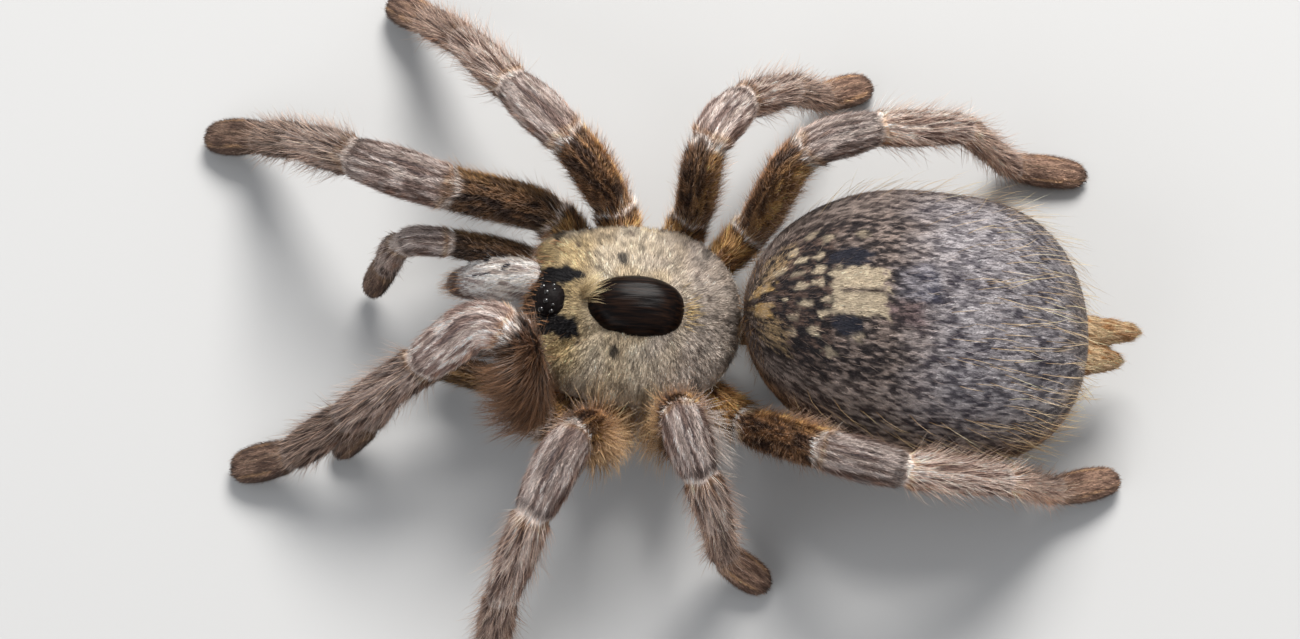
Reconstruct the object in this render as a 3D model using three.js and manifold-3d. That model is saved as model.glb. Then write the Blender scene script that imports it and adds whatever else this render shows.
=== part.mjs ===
// A life-size adult female horned baboon tarantula, standing still.
// Millimetres, +Z up, head toward -Y, the animal's left toward +X, feet on the plane Z = 0.
import * as THREE from "three";
import { mergeVertices } from "three/addons/utils/BufferGeometryUtils.js";
import Module from "manifold-3d";

const wasm = await Module();
wasm.setup();

// ---- Driving dimensions ----------------------------------------------------------------------

const GAP = 0.3; // between two pieces that meet
const SOCKET = 0.08; // round a small glassy or horny piece set into the shell

const CARAPACE = { y: -0.1, length: 20.6, width: 17.8, rim: 8.3, crown: 4.1, underside: 0.9 };
const HEAD_NARROWING = 0.13; // share of the width that the head loses toward its front edge
const FOREBODY_TURN = 3.2; // degrees that the head end swings to the animal's right
const HORN = {
  y: 0.2,
  length: 9.0,
  width: 6.1,
  base: 11.5,
  height: 2.1,
  lean: -0.3,
  taper: 0.16,
  turn: 5.5,
};
const TUBERCLE = { y: -7.6, length: 3.0, width: 3.4, base: 11.2, height: 1.3, turn: FOREBODY_TURN };
const TRUNK = { y: -0.3, length: 16.4, width: 12.2, middle: 5.0, height: 4.4 };
const ABDOMEN = { front: 9.6, length: 32.8, width: 26.4, height: 20.8, floorGap: 0.7 };
const ABDOMEN_BEND = 1.5; // how far the rear of the abdomen swings to the left
const PEDICEL = { y: 9.0, z: 6.0, length: 3.2, radius: 1.3 };
const CHELICERA = { x: 2.8, y: -10.2, z: 8.9, length: 10.0, width: 4.9, height: 6.0 };
const FANG = { length: 5.0, base: 1.5, tip: 0.5, height: 3.0 };
const SPINNERETS = [
  { name: "spinneret_right", x: -0.4, heading: 183, pitch: -6, length: 6.9 },
  { name: "spinneret_left", x: 2.4, heading: 186, pitch: -14, length: 5.4 },
];
const SPINNERET = { y: 40.5, z: 7.8, base: 4.1, tip: 2.2 };

const LIMB_SIDES = 8;
const RING_SPACING = 1.9; // between two rings of a limb
const PATH_STEP = 0.1; // of the walk along a limb's centre line
const BEND = 1.1; // length of a bend for each millimetre of depth and radian of turn
const SHORTEST_BEND = 1.2;
const TIP_HEIGHT = 0.85; // of the centre line over the floor at the foot's tip
const TOE_LENGTH = 1.5; // over which a foot rounds off
const METATARSUS = 4; // place of this segment along a leg

// Lengths of a limb's segments from the coxa outward.
const LEG_LENGTHS = {
  1: [6.6, 11.8, 9.4, 9.8, 7.4, 6.4],
  2: [6.0, 10.4, 8.0, 9.0, 8.0, 6.4],
  3: [5.6, 9.8, 6.4, 6.8, 8.0, 5.6],
  4: [6.2, 13.0, 7.5, 10.3, 11.2, 7.2],
};
const PALP_LENGTHS = [3.6, 8.5, 4.7, 5.0, 5.0];

// Width and depth of a limb at the start and in the middle of each segment, and at its tip.
const LEG_GIRTHS = [
  { start: [3.0, 3.4], middle: [4.2, 4.6] },
  { start: [4.5, 4.9], middle: [4.6, 5.4] },
  { start: [4.5, 4.9], middle: [5.2, 4.9] },
  { start: [4.3, 4.3], middle: [4.4, 4.3] },
  { start: [3.7, 3.7], middle: [3.5, 3.3] },
  { start: [3.6, 3.1], middle: [4.4, 3.2] },
  { start: [3.2, 2.5] },
];
const PALP_GIRTHS = [
  { start: [2.2, 2.8], middle: [2.8, 3.2] },
  { start: [3.0, 3.2], middle: [3.3, 3.7] },
  { start: [3.2, 3.3], middle: [3.5, 3.5] },
  { start: [3.3, 3.2], middle: [3.5, 3.2] },
  { start: [3.1, 2.9], middle: [3.4, 2.8] },
  { start: [2.7, 2.3] },
];
const PAIR_THICKNESS = { 1: 1.03, 2: 0.98, 3: 0.95, 4: 0.93 };
const METATARSUS_PADS = { 1: 0.8, 2: 0.6, 3: 0.2, 4: 0 }; // added to the metatarsus's width

// Where each pair of limbs leaves the trunk on the left side.
const SOCKETS = {
  palp: [4.4, -6.9, 5.2],
  1: [5.0, -4.6, 5.4],
  2: [5.8, -1.4, 5.4],
  3: [6.0, 2.5, 5.4],
  4: [5.4, 6.4, 5.4],
};
const COXA_PITCH = 8;

// The stance: the heading of each segment, 0 straight ahead and 90 straight out to its own side,
// and the pitch over the floor of those beyond the coxa. The last but one segment has no pitch
// here, because it is the one that brings the foot down to the floor.
const STANCES = {
  left: {
    palp: { headings: [34, -8, 26, 44, 36], pitches: [22, -15, -34] },
    1: { headings: [63, -86, 30, 27, 23, 8], pitches: [72, -32, -34, -23] },
    2: { headings: [79, 53, 66, 66, 68, 69], pitches: [80, -12, -41, -15] },
    3: { headings: [112, 105, 106, 126, 136, 153], pitches: [93, 8, -71, -25] },
    4: { headings: [138, 141, 165, 185, 202, 200], pitches: [51, 8, -26, -20] },
  },
  right: {
    palp: { headings: [38, -3, 1, -22, -31], pitches: [32, 4, -64] },
    1: { headings: [65, -5, 11, 37, 32, 9], pitches: [38, 17, -47, -24] },
    2: { headings: [87, 34, 48, 50, 49, 41], pitches: [66, -19, -25, -34] },
    3: { headings: [119, 107, 122, 145, 146, 155], pitches: [74, -27, -36, -17] },
    4: { headings: [135, 141, 155, 164, 176, 184], pitches: [71, -22, -30, -4] },
  },
};

// Eye centres on the left half of the tubercle, and their radii.
const EYES = [
  { name: "front_middle", x: 0.42, y: -8.0, radius: 0.3 },
  { name: "front_side", x: 1.1, y: -8.4, radius: 0.32 },
  { name: "rear_side", x: 1.26, y: -7.45, radius: 0.26 },
  { name: "rear_middle", x: 0.74, y: -7.35, radius: 0.2 },
];
const EYE_SINK = 0.35; // share of its radius that an eye's centre lies under the tubercle's skin

const ORIGIN = { x: -0.7, y: -2.57 }; // moves the middle of the whole animal onto the Z axis

// ---- Materials -------------------------------------------------------------------------------

const coat = (color) => ({ color, roughness: 0.9, metalness: 0 });
const LOOKS = {
  carapace: coat(0xb3a07c),
  abdomen: coat(0x5b4f4a),
  leg: coat(0x75614f),
  femur: coat(0x4a3826),
  jaw: coat(0x9a8d84),
  spinneret: coat(0xa8764a),
  underside: coat(0x4d3f33),
  horn: { color: 0x140d09, roughness: 0.25, metalness: 0 },
  eye: { color: 0x050505, roughness: 0.08, metalness: 0 },
  fang: { color: 0x1a0c08, roughness: 0.3, metalness: 0 },
};

// ---- Helpers ---------------------------------------------------------------------------------

const radians = THREE.MathUtils.degToRad;
const lerp = THREE.MathUtils.lerp;
const clamp = THREE.MathUtils.clamp;

/** Moves every vertex of a closed geometry by place(x, y, z) and welds its seams. */
function mould(geometry, place) {
  const position = geometry.attributes.position;
  for (let i = 0; i < position.count; i += 1) {
    const point = place(position.getX(i), position.getY(i), position.getZ(i));
    position.setXYZ(i, point.x, point.y, point.z);
  }
  geometry.deleteAttribute("normal");
  geometry.deleteAttribute("uv");
  return mergeVertices(geometry, 1e-4);
}

/** A unit ball with its poles on the Y axis, moulded. */
function mouldBall(sides, rings, place) {
  return mould(new THREE.SphereGeometry(1, sides, rings), place);
}

function toManifold(geometry) {
  const mesh = new wasm.Mesh({
    numProp: 3,
    vertProperties: geometry.attributes.position.array,
    triVerts: new Uint32Array(geometry.index.array),
  });
  return new wasm.Manifold(mesh);
}

function fromManifold(solid) {
  const mesh = solid.getMesh();
  const geometry = new THREE.BufferGeometry();
  geometry.setAttribute("position", new THREE.BufferAttribute(mesh.vertProperties, 3));
  geometry.setIndex(new THREE.BufferAttribute(mesh.triVerts, 1));
  return geometry;
}

/** The largest piece that is left of a geometry after the cutters are taken away. */
function carve(geometry, cutters) {
  const left = cutters.reduce(
    (solid, cutter) => solid.subtract(toManifold(cutter)),
    toManifold(geometry),
  );
  const pieces = left.decompose();
  pieces.sort((a, b) => b.volume() - a.volume());
  return fromManifold(pieces[0]);
}

/** A place on the forebody after it has swung about the animal's upright axis. */
function swung(point, degrees = FOREBODY_TURN) {
  return point.applyAxisAngle(new THREE.Vector3(0, 0, 1), -radians(degrees));
}

const group = new THREE.Group();

function addPart(name, geometry, look) {
  const mesh = new THREE.Mesh(geometry, new THREE.MeshStandardMaterial(LOOKS[look]));
  mesh.name = name;
  mesh.position.set(ORIGIN.x, ORIGIN.y, 0);
  group.add(mesh);
}

// ---- Body ------------------------------------------------------------------------------------

/** Half the carapace's width at t, -1 at the front edge and 1 at the rear. */
function carapaceHalfWidth(t) {
  const bluntness = t < 0 ? 13 : 3;
  const outline = (1 - Math.abs(t) ** bluntness) ** (1 / 2.2);
  const head = HEAD_NARROWING * THREE.MathUtils.smoothstep(-t, 0.05, 0.9);
  const rear = 0.08 * THREE.MathUtils.smoothstep(t, 0.3, 1);
  return (CARAPACE.width / 2) * outline * (1 - head - rear);
}

/** Height of the carapace's ridge over its rim at t. */
function carapaceCrown(t) {
  const slope = 1 - 0.4 * THREE.MathUtils.smoothstep(t, 0.15, 1);
  const bluntness = t < 0 ? 5 : 7;
  const edge = (1 - Math.abs(t) ** bluntness) ** (1 / 2);
  return CARAPACE.crown * slope * edge;
}

function carapace(grow = 0) {
  return mouldBall(20, 13, (x, y, z) => {
    const t = Math.sign(y) * Math.abs(y) ** 0.9;
    const radius = Math.hypot(x, z);
    const atPole = radius < 1e-6;
    const across = atPole ? 0 : x / radius;
    const rise = atPole ? 0 : z / radius;
    const halfWidth = carapaceHalfWidth(t) + grow;
    const height = rise > 0 ? carapaceCrown(t) + grow : CARAPACE.underside + grow;
    const bulge = rise > 0 ? rise ** 0.6 : rise;
    const point = new THREE.Vector3(
      across * halfWidth,
      CARAPACE.y + t * (CARAPACE.length / 2 + grow),
      CARAPACE.rim + bulge * height,
    );
    return swung(point);
  });
}

/** A low dome with a flat foot, narrower in front by its taper, that stands on the carapace. */
function dome(shape, sides, rings, grow = 0) {
  const { y, length, width, base, height, turn, lean = 0, taper = 0 } = shape;
  return mouldBall(sides, rings, (dx, dy, dz) => {
    const squareness = 1 + 0.07 * Math.sin(2 * Math.atan2(dx, dy)) ** 2;
    const narrow = 1 - taper * Math.max(-dy, 0);
    const point = new THREE.Vector3(
      dx * squareness * (narrow * (width / 2) + grow),
      y + dy * squareness * (length / 2 + grow) + lean * Math.max(dz, 0),
      base + Math.max(dz, -0.35) * (height + grow),
    );
    return swung(point, turn);
  });
}

function trunk(grow = 0) {
  return mouldBall(12, 6, (x, y, z) => {
    const squareness = 1 + 0.12 * Math.abs(Math.sin(2 * Math.atan2(x, y)));
    return new THREE.Vector3(
      x * squareness * (TRUNK.width / 2 + grow),
      TRUNK.y + y * (TRUNK.length / 2 + grow),
      TRUNK.middle + clamp(z * 1.5, -1, 1) * (TRUNK.height / 2 + grow),
    );
  });
}

/** The middle of the abdomen's cross-section at t, -1 in front and 1 behind. */
function abdomenMiddle(t) {
  const back = (t + 1) / 2;
  return new THREE.Vector3(
    ABDOMEN_BEND * Math.max(back, 0) ** 1.4,
    ABDOMEN.front + ABDOMEN.length * back,
    ABDOMEN.floorGap + ABDOMEN.height / 2 - 0.6 * back,
  );
}

/** Fullness of the abdomen's cross-section at t: an egg with its blunt end behind. */
function abdomenFullness(t) {
  const bluntness = 2 + 1.3 * THREE.MathUtils.smoothstep(t, -0.2, 0.5);
  return Math.sqrt(1 - Math.abs(t) ** bluntness);
}

function abdomen(grow = 0) {
  return mouldBall(20, 14, (x, y, z) => {
    const middle = abdomenMiddle(y * (1 + (2 * grow) / ABDOMEN.length));
    const radius = Math.hypot(x, z);
    if (radius < 1e-6) return middle;
    const full = abdomenFullness(y);
    middle.x += (x / radius) * (full * (ABDOMEN.width / 2) + grow);
    middle.z += (z / radius) * (full * (ABDOMEN.height / 2) + grow);
    return middle;
  });
}

function pedicel() {
  const tube = new THREE.CylinderGeometry(PEDICEL.radius, PEDICEL.radius, PEDICEL.length, 10);
  tube.translate(0, PEDICEL.y, PEDICEL.z);
  return mould(tube, (x, y, z) => new THREE.Vector3(x, y, z));
}

/** A jaw: a blunt egg that starts under the carapace's front edge and droops forward. */
function chelicera(side, grow = 0) {
  return mouldBall(10, 8, (x, y, z) => {
    const forward = (1 - y) / 2;
    const radius = Math.hypot(x, z);
    const blunt = radius < 1e-6 ? 0 : radius ** -0.35;
    const swell = blunt * (1 - 0.2 * forward);
    const point = new THREE.Vector3(
      side * CHELICERA.x + x * (CHELICERA.width / 2 + grow) * swell,
      CHELICERA.y + 2.2 - (CHELICERA.length + grow) * forward,
      CHELICERA.z - 3.0 * forward ** 2 + z * (CHELICERA.height / 2 + grow) * swell,
    );
    return swung(point);
  });
}

/** A fang folded back under its jaw, thick at the front and pointed behind. */
function fang(side) {
  return mould(new THREE.CylinderGeometry(1, 1, 1, 8, 5), (x, y, z) => {
    const back = y + 0.5;
    const radius = lerp(FANG.base, FANG.tip, back) / 2;
    const point = new THREE.Vector3(
      side * (CHELICERA.x - 0.4 * back) + x * radius,
      CHELICERA.y - 6.2 + FANG.length * back,
      FANG.height - 0.9 * Math.sin(Math.PI * back * 0.8) + z * radius,
    );
    return swung(point);
  });
}

function spinneret({ x, heading, pitch, length }, grow = 0) {
  const along = new THREE.Vector3(
    Math.sin(radians(heading)) * Math.cos(radians(pitch)),
    -Math.cos(radians(heading)) * Math.cos(radians(pitch)),
    Math.sin(radians(pitch)),
  );
  const lateral = new THREE.Vector3(-along.y, along.x, 0).normalize().negate();
  const dorsal = new THREE.Vector3().crossVectors(lateral, along);
  return mould(new THREE.CylinderGeometry(1, 1, 1, 10, 6), (px, py, pz) => {
    const out = py + 0.5;
    const rounding = Math.sqrt(1 - clamp((out - 0.8) / 0.22, 0, 1) ** 2);
    const radius = (lerp(SPINNERET.base, SPINNERET.tip, out) / 2) * rounding + grow;
    return new THREE.Vector3(x, SPINNERET.y, SPINNERET.z)
      .addScaledVector(along, (length + grow) * out)
      .addScaledVector(lateral, px * radius)
      .addScaledVector(dorsal, pz * radius);
  });
}

// ---- Limbs -----------------------------------------------------------------------------------

/**
 * A limb's centre line. Its heading and pitch stay as each segment has them and turn evenly over a
 * bend at each joint, long enough for the limb's depth.
 */
function walk(root, side, lengths, headings, pitches, girths) {
  const joints = lengths.map((_, i) => lengths.slice(0, i + 1).reduce((a, b) => a + b, 0));
  const total = joints.pop();
  const count = Math.round(total / PATH_STEP);
  const step = total / count;
  const bends = joints.map((joint, i) => {
    const headingTurn = headings[i + 1] - headings[i];
    const pitchTurn = pitches[i + 1] - pitches[i];
    const level = Math.cos(radians((pitches[i] + pitches[i + 1]) / 2));
    const turn = radians(Math.hypot(pitchTurn, headingTurn * level));
    const room = 0.9 * Math.min(lengths[i], lengths[i + 1]);
    const wanted = Math.min(BEND * turn * girths[i + 1].start[1], room);
    return { joint, headingTurn, pitchTurn, length: Math.max(SHORTEST_BEND, wanted) };
  });
  const points = [new THREE.Vector3(side * root[0], root[1], root[2])];
  const frames = [];
  for (let i = 0; i < count; i += 1) {
    const s = (i + 0.5) * step;
    let heading = headings[0];
    let pitch = pitches[0];
    for (const bend of bends) {
      const share = clamp((s - bend.joint) / bend.length + 0.5, 0, 1);
      heading += bend.headingTurn * share;
      pitch += bend.pitchTurn * share;
    }
    const level = new THREE.Vector3(
      side * Math.sin(radians(heading)),
      -Math.cos(radians(heading)),
      0,
    );
    const up = new THREE.Vector3(0, 0, 1);
    const along = level.clone().multiplyScalar(Math.cos(radians(pitch)));
    along.addScaledVector(up, Math.sin(radians(pitch)));
    const lateral = new THREE.Vector3().crossVectors(level, up);
    const dorsal = new THREE.Vector3().crossVectors(lateral, along);
    frames.push({ along, lateral, dorsal });
    points.push(points[i].clone().addScaledVector(along, step));
  }
  return { points, frames, step, joints, total };
}

/** The pitch of the last but one segment that brings the limb's tip down to TIP_HEIGHT. */
function landingPitch(root, side, lengths, headings, pitches, girths) {
  let low = -89;
  let high = 20;
  while (high - low > 0.01) {
    const pitch = (low + high) / 2;
    const trial = [...pitches.slice(0, -1), pitch, pitches.at(-1)];
    const tip = walk(root, side, lengths, headings, trial, girths).points.at(-1);
    if (tip.z < TIP_HEIGHT) low = pitch;
    else high = pitch;
  }
  return (low + high) / 2;
}

/** Width and depth of a limb at s along it. */
function girthAt(limb, s) {
  const ends = [0, ...limb.joints, limb.total];
  let i = 0;
  while (i < limb.lengths.length - 1 && s > ends[i + 1]) i += 1;
  const t = clamp((s - ends[i]) / limb.lengths[i], 0, 1);
  const { start, middle } = limb.girths[i];
  const end = limb.girths[i + 1].start;
  const toe = clamp((s - (limb.total - TOE_LENGTH)) / TOE_LENGTH, 0, 1);
  const rounding = 1 - 0.55 * toe ** 3;
  const pads = [i === METATARSUS ? limb.pads : 0, 0];
  return [0, 1].map((axis) => {
    const straight = lerp(start[axis], end[axis], t);
    const swell = middle[axis] + pads[axis] - (start[axis] + end[axis]) / 2;
    return (straight + swell * Math.sin(Math.PI * t)) * limb.thickness * rounding;
  });
}

/** The stretch of a limb between two places on its centre line, with flat ends. */
function stretch(limb, from, to, grow = 0) {
  const rings = Math.max(2, Math.round((to - from) / RING_SPACING));
  const tube = new THREE.CylinderGeometry(1, 1, 1, LIMB_SIDES, rings);
  return mould(tube, (x, y, z) => {
    const s = clamp(lerp(from - grow, to + grow, y + 0.5), 0, limb.total);
    const sample = clamp(s / limb.step, 0, limb.frames.length);
    const index = Math.min(Math.floor(sample), limb.frames.length - 1);
    const { along, lateral, dorsal } = limb.frames[index];
    const [width, depth] = girthAt(limb, s);
    const point = limb.points[index].clone();
    point.addScaledVector(along, (sample - index) * limb.step);
    point.addScaledVector(lateral, x * (width / 2 + grow));
    point.addScaledVector(dorsal, z * (depth / 2 + grow));
    point.z = Math.max(point.z, 0);
    return point;
  });
}

function makeLimb(key, sideName) {
  const side = sideName === "left" ? 1 : -1;
  const root = SOCKETS[key];
  const { headings, pitches: beyond } = STANCES[sideName][key];
  const lengths = key === "palp" ? PALP_LENGTHS : LEG_LENGTHS[key];
  const girths = key === "palp" ? PALP_GIRTHS : LEG_GIRTHS;
  const known = [COXA_PITCH, ...beyond];
  const landing = landingPitch(root, side, lengths, headings, known, girths);
  const pitches = [...known.slice(0, -1), landing, known.at(-1)];
  const line = walk(root, side, lengths, headings, pitches, girths);
  const thickness = PAIR_THICKNESS[key] ?? 1;
  return { ...line, lengths, girths, thickness, pads: METATARSUS_PADS[key] ?? 0 };
}

/** The pieces of a limb: a name's ending, and the joints where it starts and ends. */
const LEG_PIECES = [
  { part: "coxa", first: 0, last: 1, look: "femur" },
  { part: "femur", first: 1, last: 2, look: "femur" },
  { part: "tibia", first: 2, last: 4, look: "leg" },
  { part: "tarsus", first: 4, last: 6, look: "leg" },
];
const PALP_PIECES = [
  { part: "coxa", first: 0, last: 1, look: "femur" },
  { part: "femur", first: 1, last: 2, look: "femur" },
  { part: "tarsus", first: 2, last: 5, look: "leg" },
];

function limbPiece(limb, { first, last }, grow = 0) {
  const ends = [0, ...limb.joints, limb.total];
  const from = first === 0 ? 0 : ends[first] + GAP / 2;
  const to = last === ends.length - 1 ? limb.total : ends[last] - GAP / 2;
  return stretch(limb, from, to, grow);
}

// ---- Assembly --------------------------------------------------------------------------------

/** The eyes, each set into the tubercle's skin and grown by grow. */
function eyes(grow = 0) {
  return [1, -1].flatMap((side) =>
    EYES.map(({ name, x, y, radius }) => {
      const across = x / (TUBERCLE.width / 2);
      const ahead = (y - TUBERCLE.y) / (TUBERCLE.length / 2);
      const rise = Math.sqrt(1 - across ** 2 - ahead ** 2);
      const height = TUBERCLE.base + TUBERCLE.height * rise - EYE_SINK * radius;
      const centre = swung(new THREE.Vector3(side * x, y, height));
      const geometry = mouldBall(7, 5, (px, py, pz) =>
        new THREE.Vector3(px, py, pz).multiplyScalar(radius + grow).add(centre),
      );
      return { name: `eye_${name}_${side > 0 ? "left" : "right"}`, geometry };
    }),
  );
}

function addBody() {
  const eyeSockets = eyes(SOCKET).map((eye) => eye.geometry);
  const onTop = [dome(HORN, 14, 7, SOCKET), dome(TUBERCLE, 10, 6, SOCKET), ...eyeSockets];
  addPart("carapace", carve(carapace(), onTop), "carapace");
  addPart("foveal_horn", dome(HORN, 14, 7), "horn");
  addPart("eye_tubercle", carve(dome(TUBERCLE, 10, 6), eyeSockets), "horn");
  for (const { name, geometry } of eyes()) addPart(name, geometry, "eye");
  addPart("sternum", carve(trunk(), [carapace(GAP)]), "underside");
  addPart("abdomen", carve(abdomen(), [carapace(GAP)]), "abdomen");
  addPart("pedicel", carve(pedicel(), [carapace(GAP), trunk(GAP), abdomen(GAP)]), "underside");
}

function addJaws() {
  for (const side of [1, -1]) {
    const sideName = side > 0 ? "left" : "right";
    const jaw = carve(chelicera(side), [carapace(GAP), trunk(GAP)]);
    addPart(`chelicera_${sideName}`, jaw, "jaw");
    addPart(`fang_${sideName}`, carve(fang(side), [chelicera(side, GAP), trunk(GAP)]), "fang");
  }
}

function addSpinnerets() {
  let neighbour = null;
  for (const shape of SPINNERETS) {
    const cutters = neighbour ? [abdomen(GAP), neighbour] : [abdomen(GAP)];
    addPart(shape.name, carve(spinneret(shape), cutters), "spinneret");
    neighbour = spinneret(shape, GAP);
  }
}

function addLimbs(sideName) {
  const side = sideName === "left" ? 1 : -1;
  const body = [carapace(GAP), trunk(GAP), abdomen(GAP), chelicera(side, GAP)];
  const neighbours = [];
  for (const key of ["palp", "1", "2", "3", "4"]) {
    const limb = makeLimb(key, sideName);
    const pieces = key === "palp" ? PALP_PIECES : LEG_PIECES;
    const prefix = key === "palp" ? `palp_${sideName}` : `leg_${key}_${sideName}`;
    const crowded = pieces.filter(({ part }) => part === "coxa" || part === "femur");
    for (const piece of pieces) {
      const geometry = limbPiece(limb, piece);
      const cutters = crowded.includes(piece) ? [...body, ...neighbours] : [];
      addPart(`${prefix}_${piece.part}`, carve(geometry, cutters), piece.look);
    }
    for (const piece of crowded) neighbours.push(limbPiece(limb, piece, GAP));
  }
}

addBody();
addJaws();
addSpinnerets();
addLimbs("left");
addLimbs("right");

export default group;
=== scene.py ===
"""A horned baboon tarantula, standing still: skin, coat, horn, eyes, fangs and claws round the frame.

Shapes are worked out in millimetres in the animal's own frame: +Z up, head toward -Y, its left
toward +X, feet on Z = 0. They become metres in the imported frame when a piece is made.
"""

from types import SimpleNamespace

import bpy
import numpy as np
from mathutils import Matrix, Vector, kdtree


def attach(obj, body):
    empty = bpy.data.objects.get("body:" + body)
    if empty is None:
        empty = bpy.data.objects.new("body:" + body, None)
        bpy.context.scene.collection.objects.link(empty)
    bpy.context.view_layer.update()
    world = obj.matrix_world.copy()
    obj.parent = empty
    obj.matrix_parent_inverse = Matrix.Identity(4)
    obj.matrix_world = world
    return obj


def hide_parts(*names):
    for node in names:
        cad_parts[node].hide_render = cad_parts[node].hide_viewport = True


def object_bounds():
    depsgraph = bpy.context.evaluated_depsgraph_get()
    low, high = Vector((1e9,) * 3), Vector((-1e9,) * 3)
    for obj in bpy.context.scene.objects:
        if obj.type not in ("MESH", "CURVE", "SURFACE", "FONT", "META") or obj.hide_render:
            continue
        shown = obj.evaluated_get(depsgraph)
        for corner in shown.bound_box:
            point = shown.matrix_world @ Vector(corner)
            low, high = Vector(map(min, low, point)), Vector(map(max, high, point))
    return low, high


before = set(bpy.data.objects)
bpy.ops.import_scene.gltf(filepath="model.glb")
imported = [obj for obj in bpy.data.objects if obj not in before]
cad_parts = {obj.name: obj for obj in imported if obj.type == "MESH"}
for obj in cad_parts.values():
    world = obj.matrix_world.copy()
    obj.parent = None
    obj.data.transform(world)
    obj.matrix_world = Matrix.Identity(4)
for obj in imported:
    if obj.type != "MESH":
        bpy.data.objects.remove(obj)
CAD_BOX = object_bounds()

# ---- Driving dimensions ------------------------------------------------------------------------

MM = 0.001
ORIGIN = np.array([-0.7, -2.57, 0.0])  # the animal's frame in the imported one
LOWEST_POINT = 0.02  # of the skin and its hair
LOWEST_CLAW = 0.03
SIDES = ((1, "left"), (-1, "right"))

CARAPACE = dict(y=-0.1, length=20.6, width=17.8, rim=8.3, crown=4.1, underside=0.9)
HEAD_NARROWING = 0.13
FOREBODY_TURN = 3.2  # degrees that the head end swings to the animal's right
HORN = dict(y=0.2, length=9.0, width=6.1, base=11.5, height=2.1, lean=-0.3, taper=0.16, turn=5.5)
TUBERCLE = dict(y=-7.6, length=3.0, width=3.4, base=11.2, height=1.3, lean=0, taper=0, turn=FOREBODY_TURN)
TRUNK = dict(y=-0.3, length=16.4, width=12.2, middle=5.0, height=4.4)
ABDOMEN = dict(front=9.6, length=32.8, width=26.4, height=20.8, floor_gap=0.7)
ABDOMEN_BEND = 1.5
PEDICEL = dict(y=9.0, z=6.0, length=4.4, radius=1.5)
CHELICERA = dict(x=2.8, y=-10.2, z=8.9, length=10.0, width=4.9, height=6.0)
FANG = dict(behind=6.9, z=5.4, length=5.6, base=1.5, tip=0.3, curl=1.45)
CLAW = dict(apart=0.36, rise=0.2, spread=0.25, length=0.9, base=0.26, tip=0.05, curl=1.1)
SPINNERETS = {"right": (-0.4, 183, -6, 6.9), "left": (2.4, 186, -14, 5.4)}  # x, heading, pitch, length
SPINNERET = dict(y=40.5, z=7.8, base=4.1, tip=2.2)

# How deep the skin lies under the coat's surface; on limbs it is by segment, coxa first.
SKIN_DEPTH = dict(abdomen=0.55, trunk=0.25, pedicel=0.2, jaw=0.35, spinneret=0.3, carapace=0.3)
LEG_SKIN_DEPTH = (0.4, 0.62, 0.4, 0.42, 0.42, 0.4)
PALP_SKIN_DEPTH = (0.3, 0.45, 0.35, 0.38, 0.35)

PATH_STEP = 0.1
RING_STEP = 0.35  # between the rings of a limb's skin
BEND = 1.1
SHORTEST_BEND = 1.2
TIP_HEIGHT = 0.85
TOE_LENGTH = 1.5
PAD_RUN = 2.5  # how far the foot's dark pad reaches back before the last joint
TOE_PAD = 1.4
COXA_PITCH = 8
COXA, FEMUR, PATELLA, TIBIA, METATARSUS = range(5)

LEG_LENGTHS = {
    "1": (6.6, 11.8, 9.4, 9.8, 7.4, 6.4),
    "2": (6.0, 10.4, 8.0, 9.0, 8.0, 6.4),
    "3": (5.6, 9.8, 6.4, 6.8, 8.0, 5.6),
    "4": (6.2, 13.0, 7.5, 10.3, 11.2, 7.2),
    "palp": (3.6, 8.5, 4.7, 5.0, 5.0),
}
LEG_STARTS = [(3.0, 3.4), (4.5, 4.9), (4.5, 4.9), (4.3, 4.3), (3.7, 3.7), (3.6, 3.1), (3.2, 2.5)]
LEG_MIDDLES = [(4.2, 4.6), (4.6, 5.4), (5.2, 4.9), (4.4, 4.3), (3.5, 3.3), (4.4, 3.2)]
PALP_STARTS = [(2.2, 2.8), (3.0, 3.2), (3.2, 3.3), (3.3, 3.2), (3.1, 2.9), (2.7, 2.3)]
PALP_MIDDLES = [(2.8, 3.2), (3.3, 3.7), (3.5, 3.5), (3.5, 3.2), (3.4, 2.8)]
PAIR_THICKNESS = {"1": 1.03, "2": 0.98, "3": 0.95, "4": 0.93, "palp": 1.0}
PAIR_TONE = {  # of the coat's colour on each segment, coxa first
    "1": (0.78, 0.78, 0.85, 0.74, 0.58, 0.82),
    "2": (1.0, 1.3, 1.0, 1.2, 1.12, 1.1),
    "3": (1.0, 1.05, 1.0, 1.2, 1.2, 1.45),
    "4": (1.2, 1.3, 0.78, 1.6, 1.85, 1.45),
    "palp": (0.5, 0.5, 0.75, 0.75, 0.75),
}
METATARSUS_PADS = {"1": 0.8, "2": 0.6, "3": 0.2, "4": 0.0, "palp": 0.0}
SOCKETS = {
    "palp": (4.4, -6.9, 5.2),
    "1": (5.0, -4.6, 5.4),
    "2": (5.8, -1.4, 5.4),
    "3": (6.0, 2.5, 5.4),
    "4": (5.4, 6.4, 5.4),
}
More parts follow.
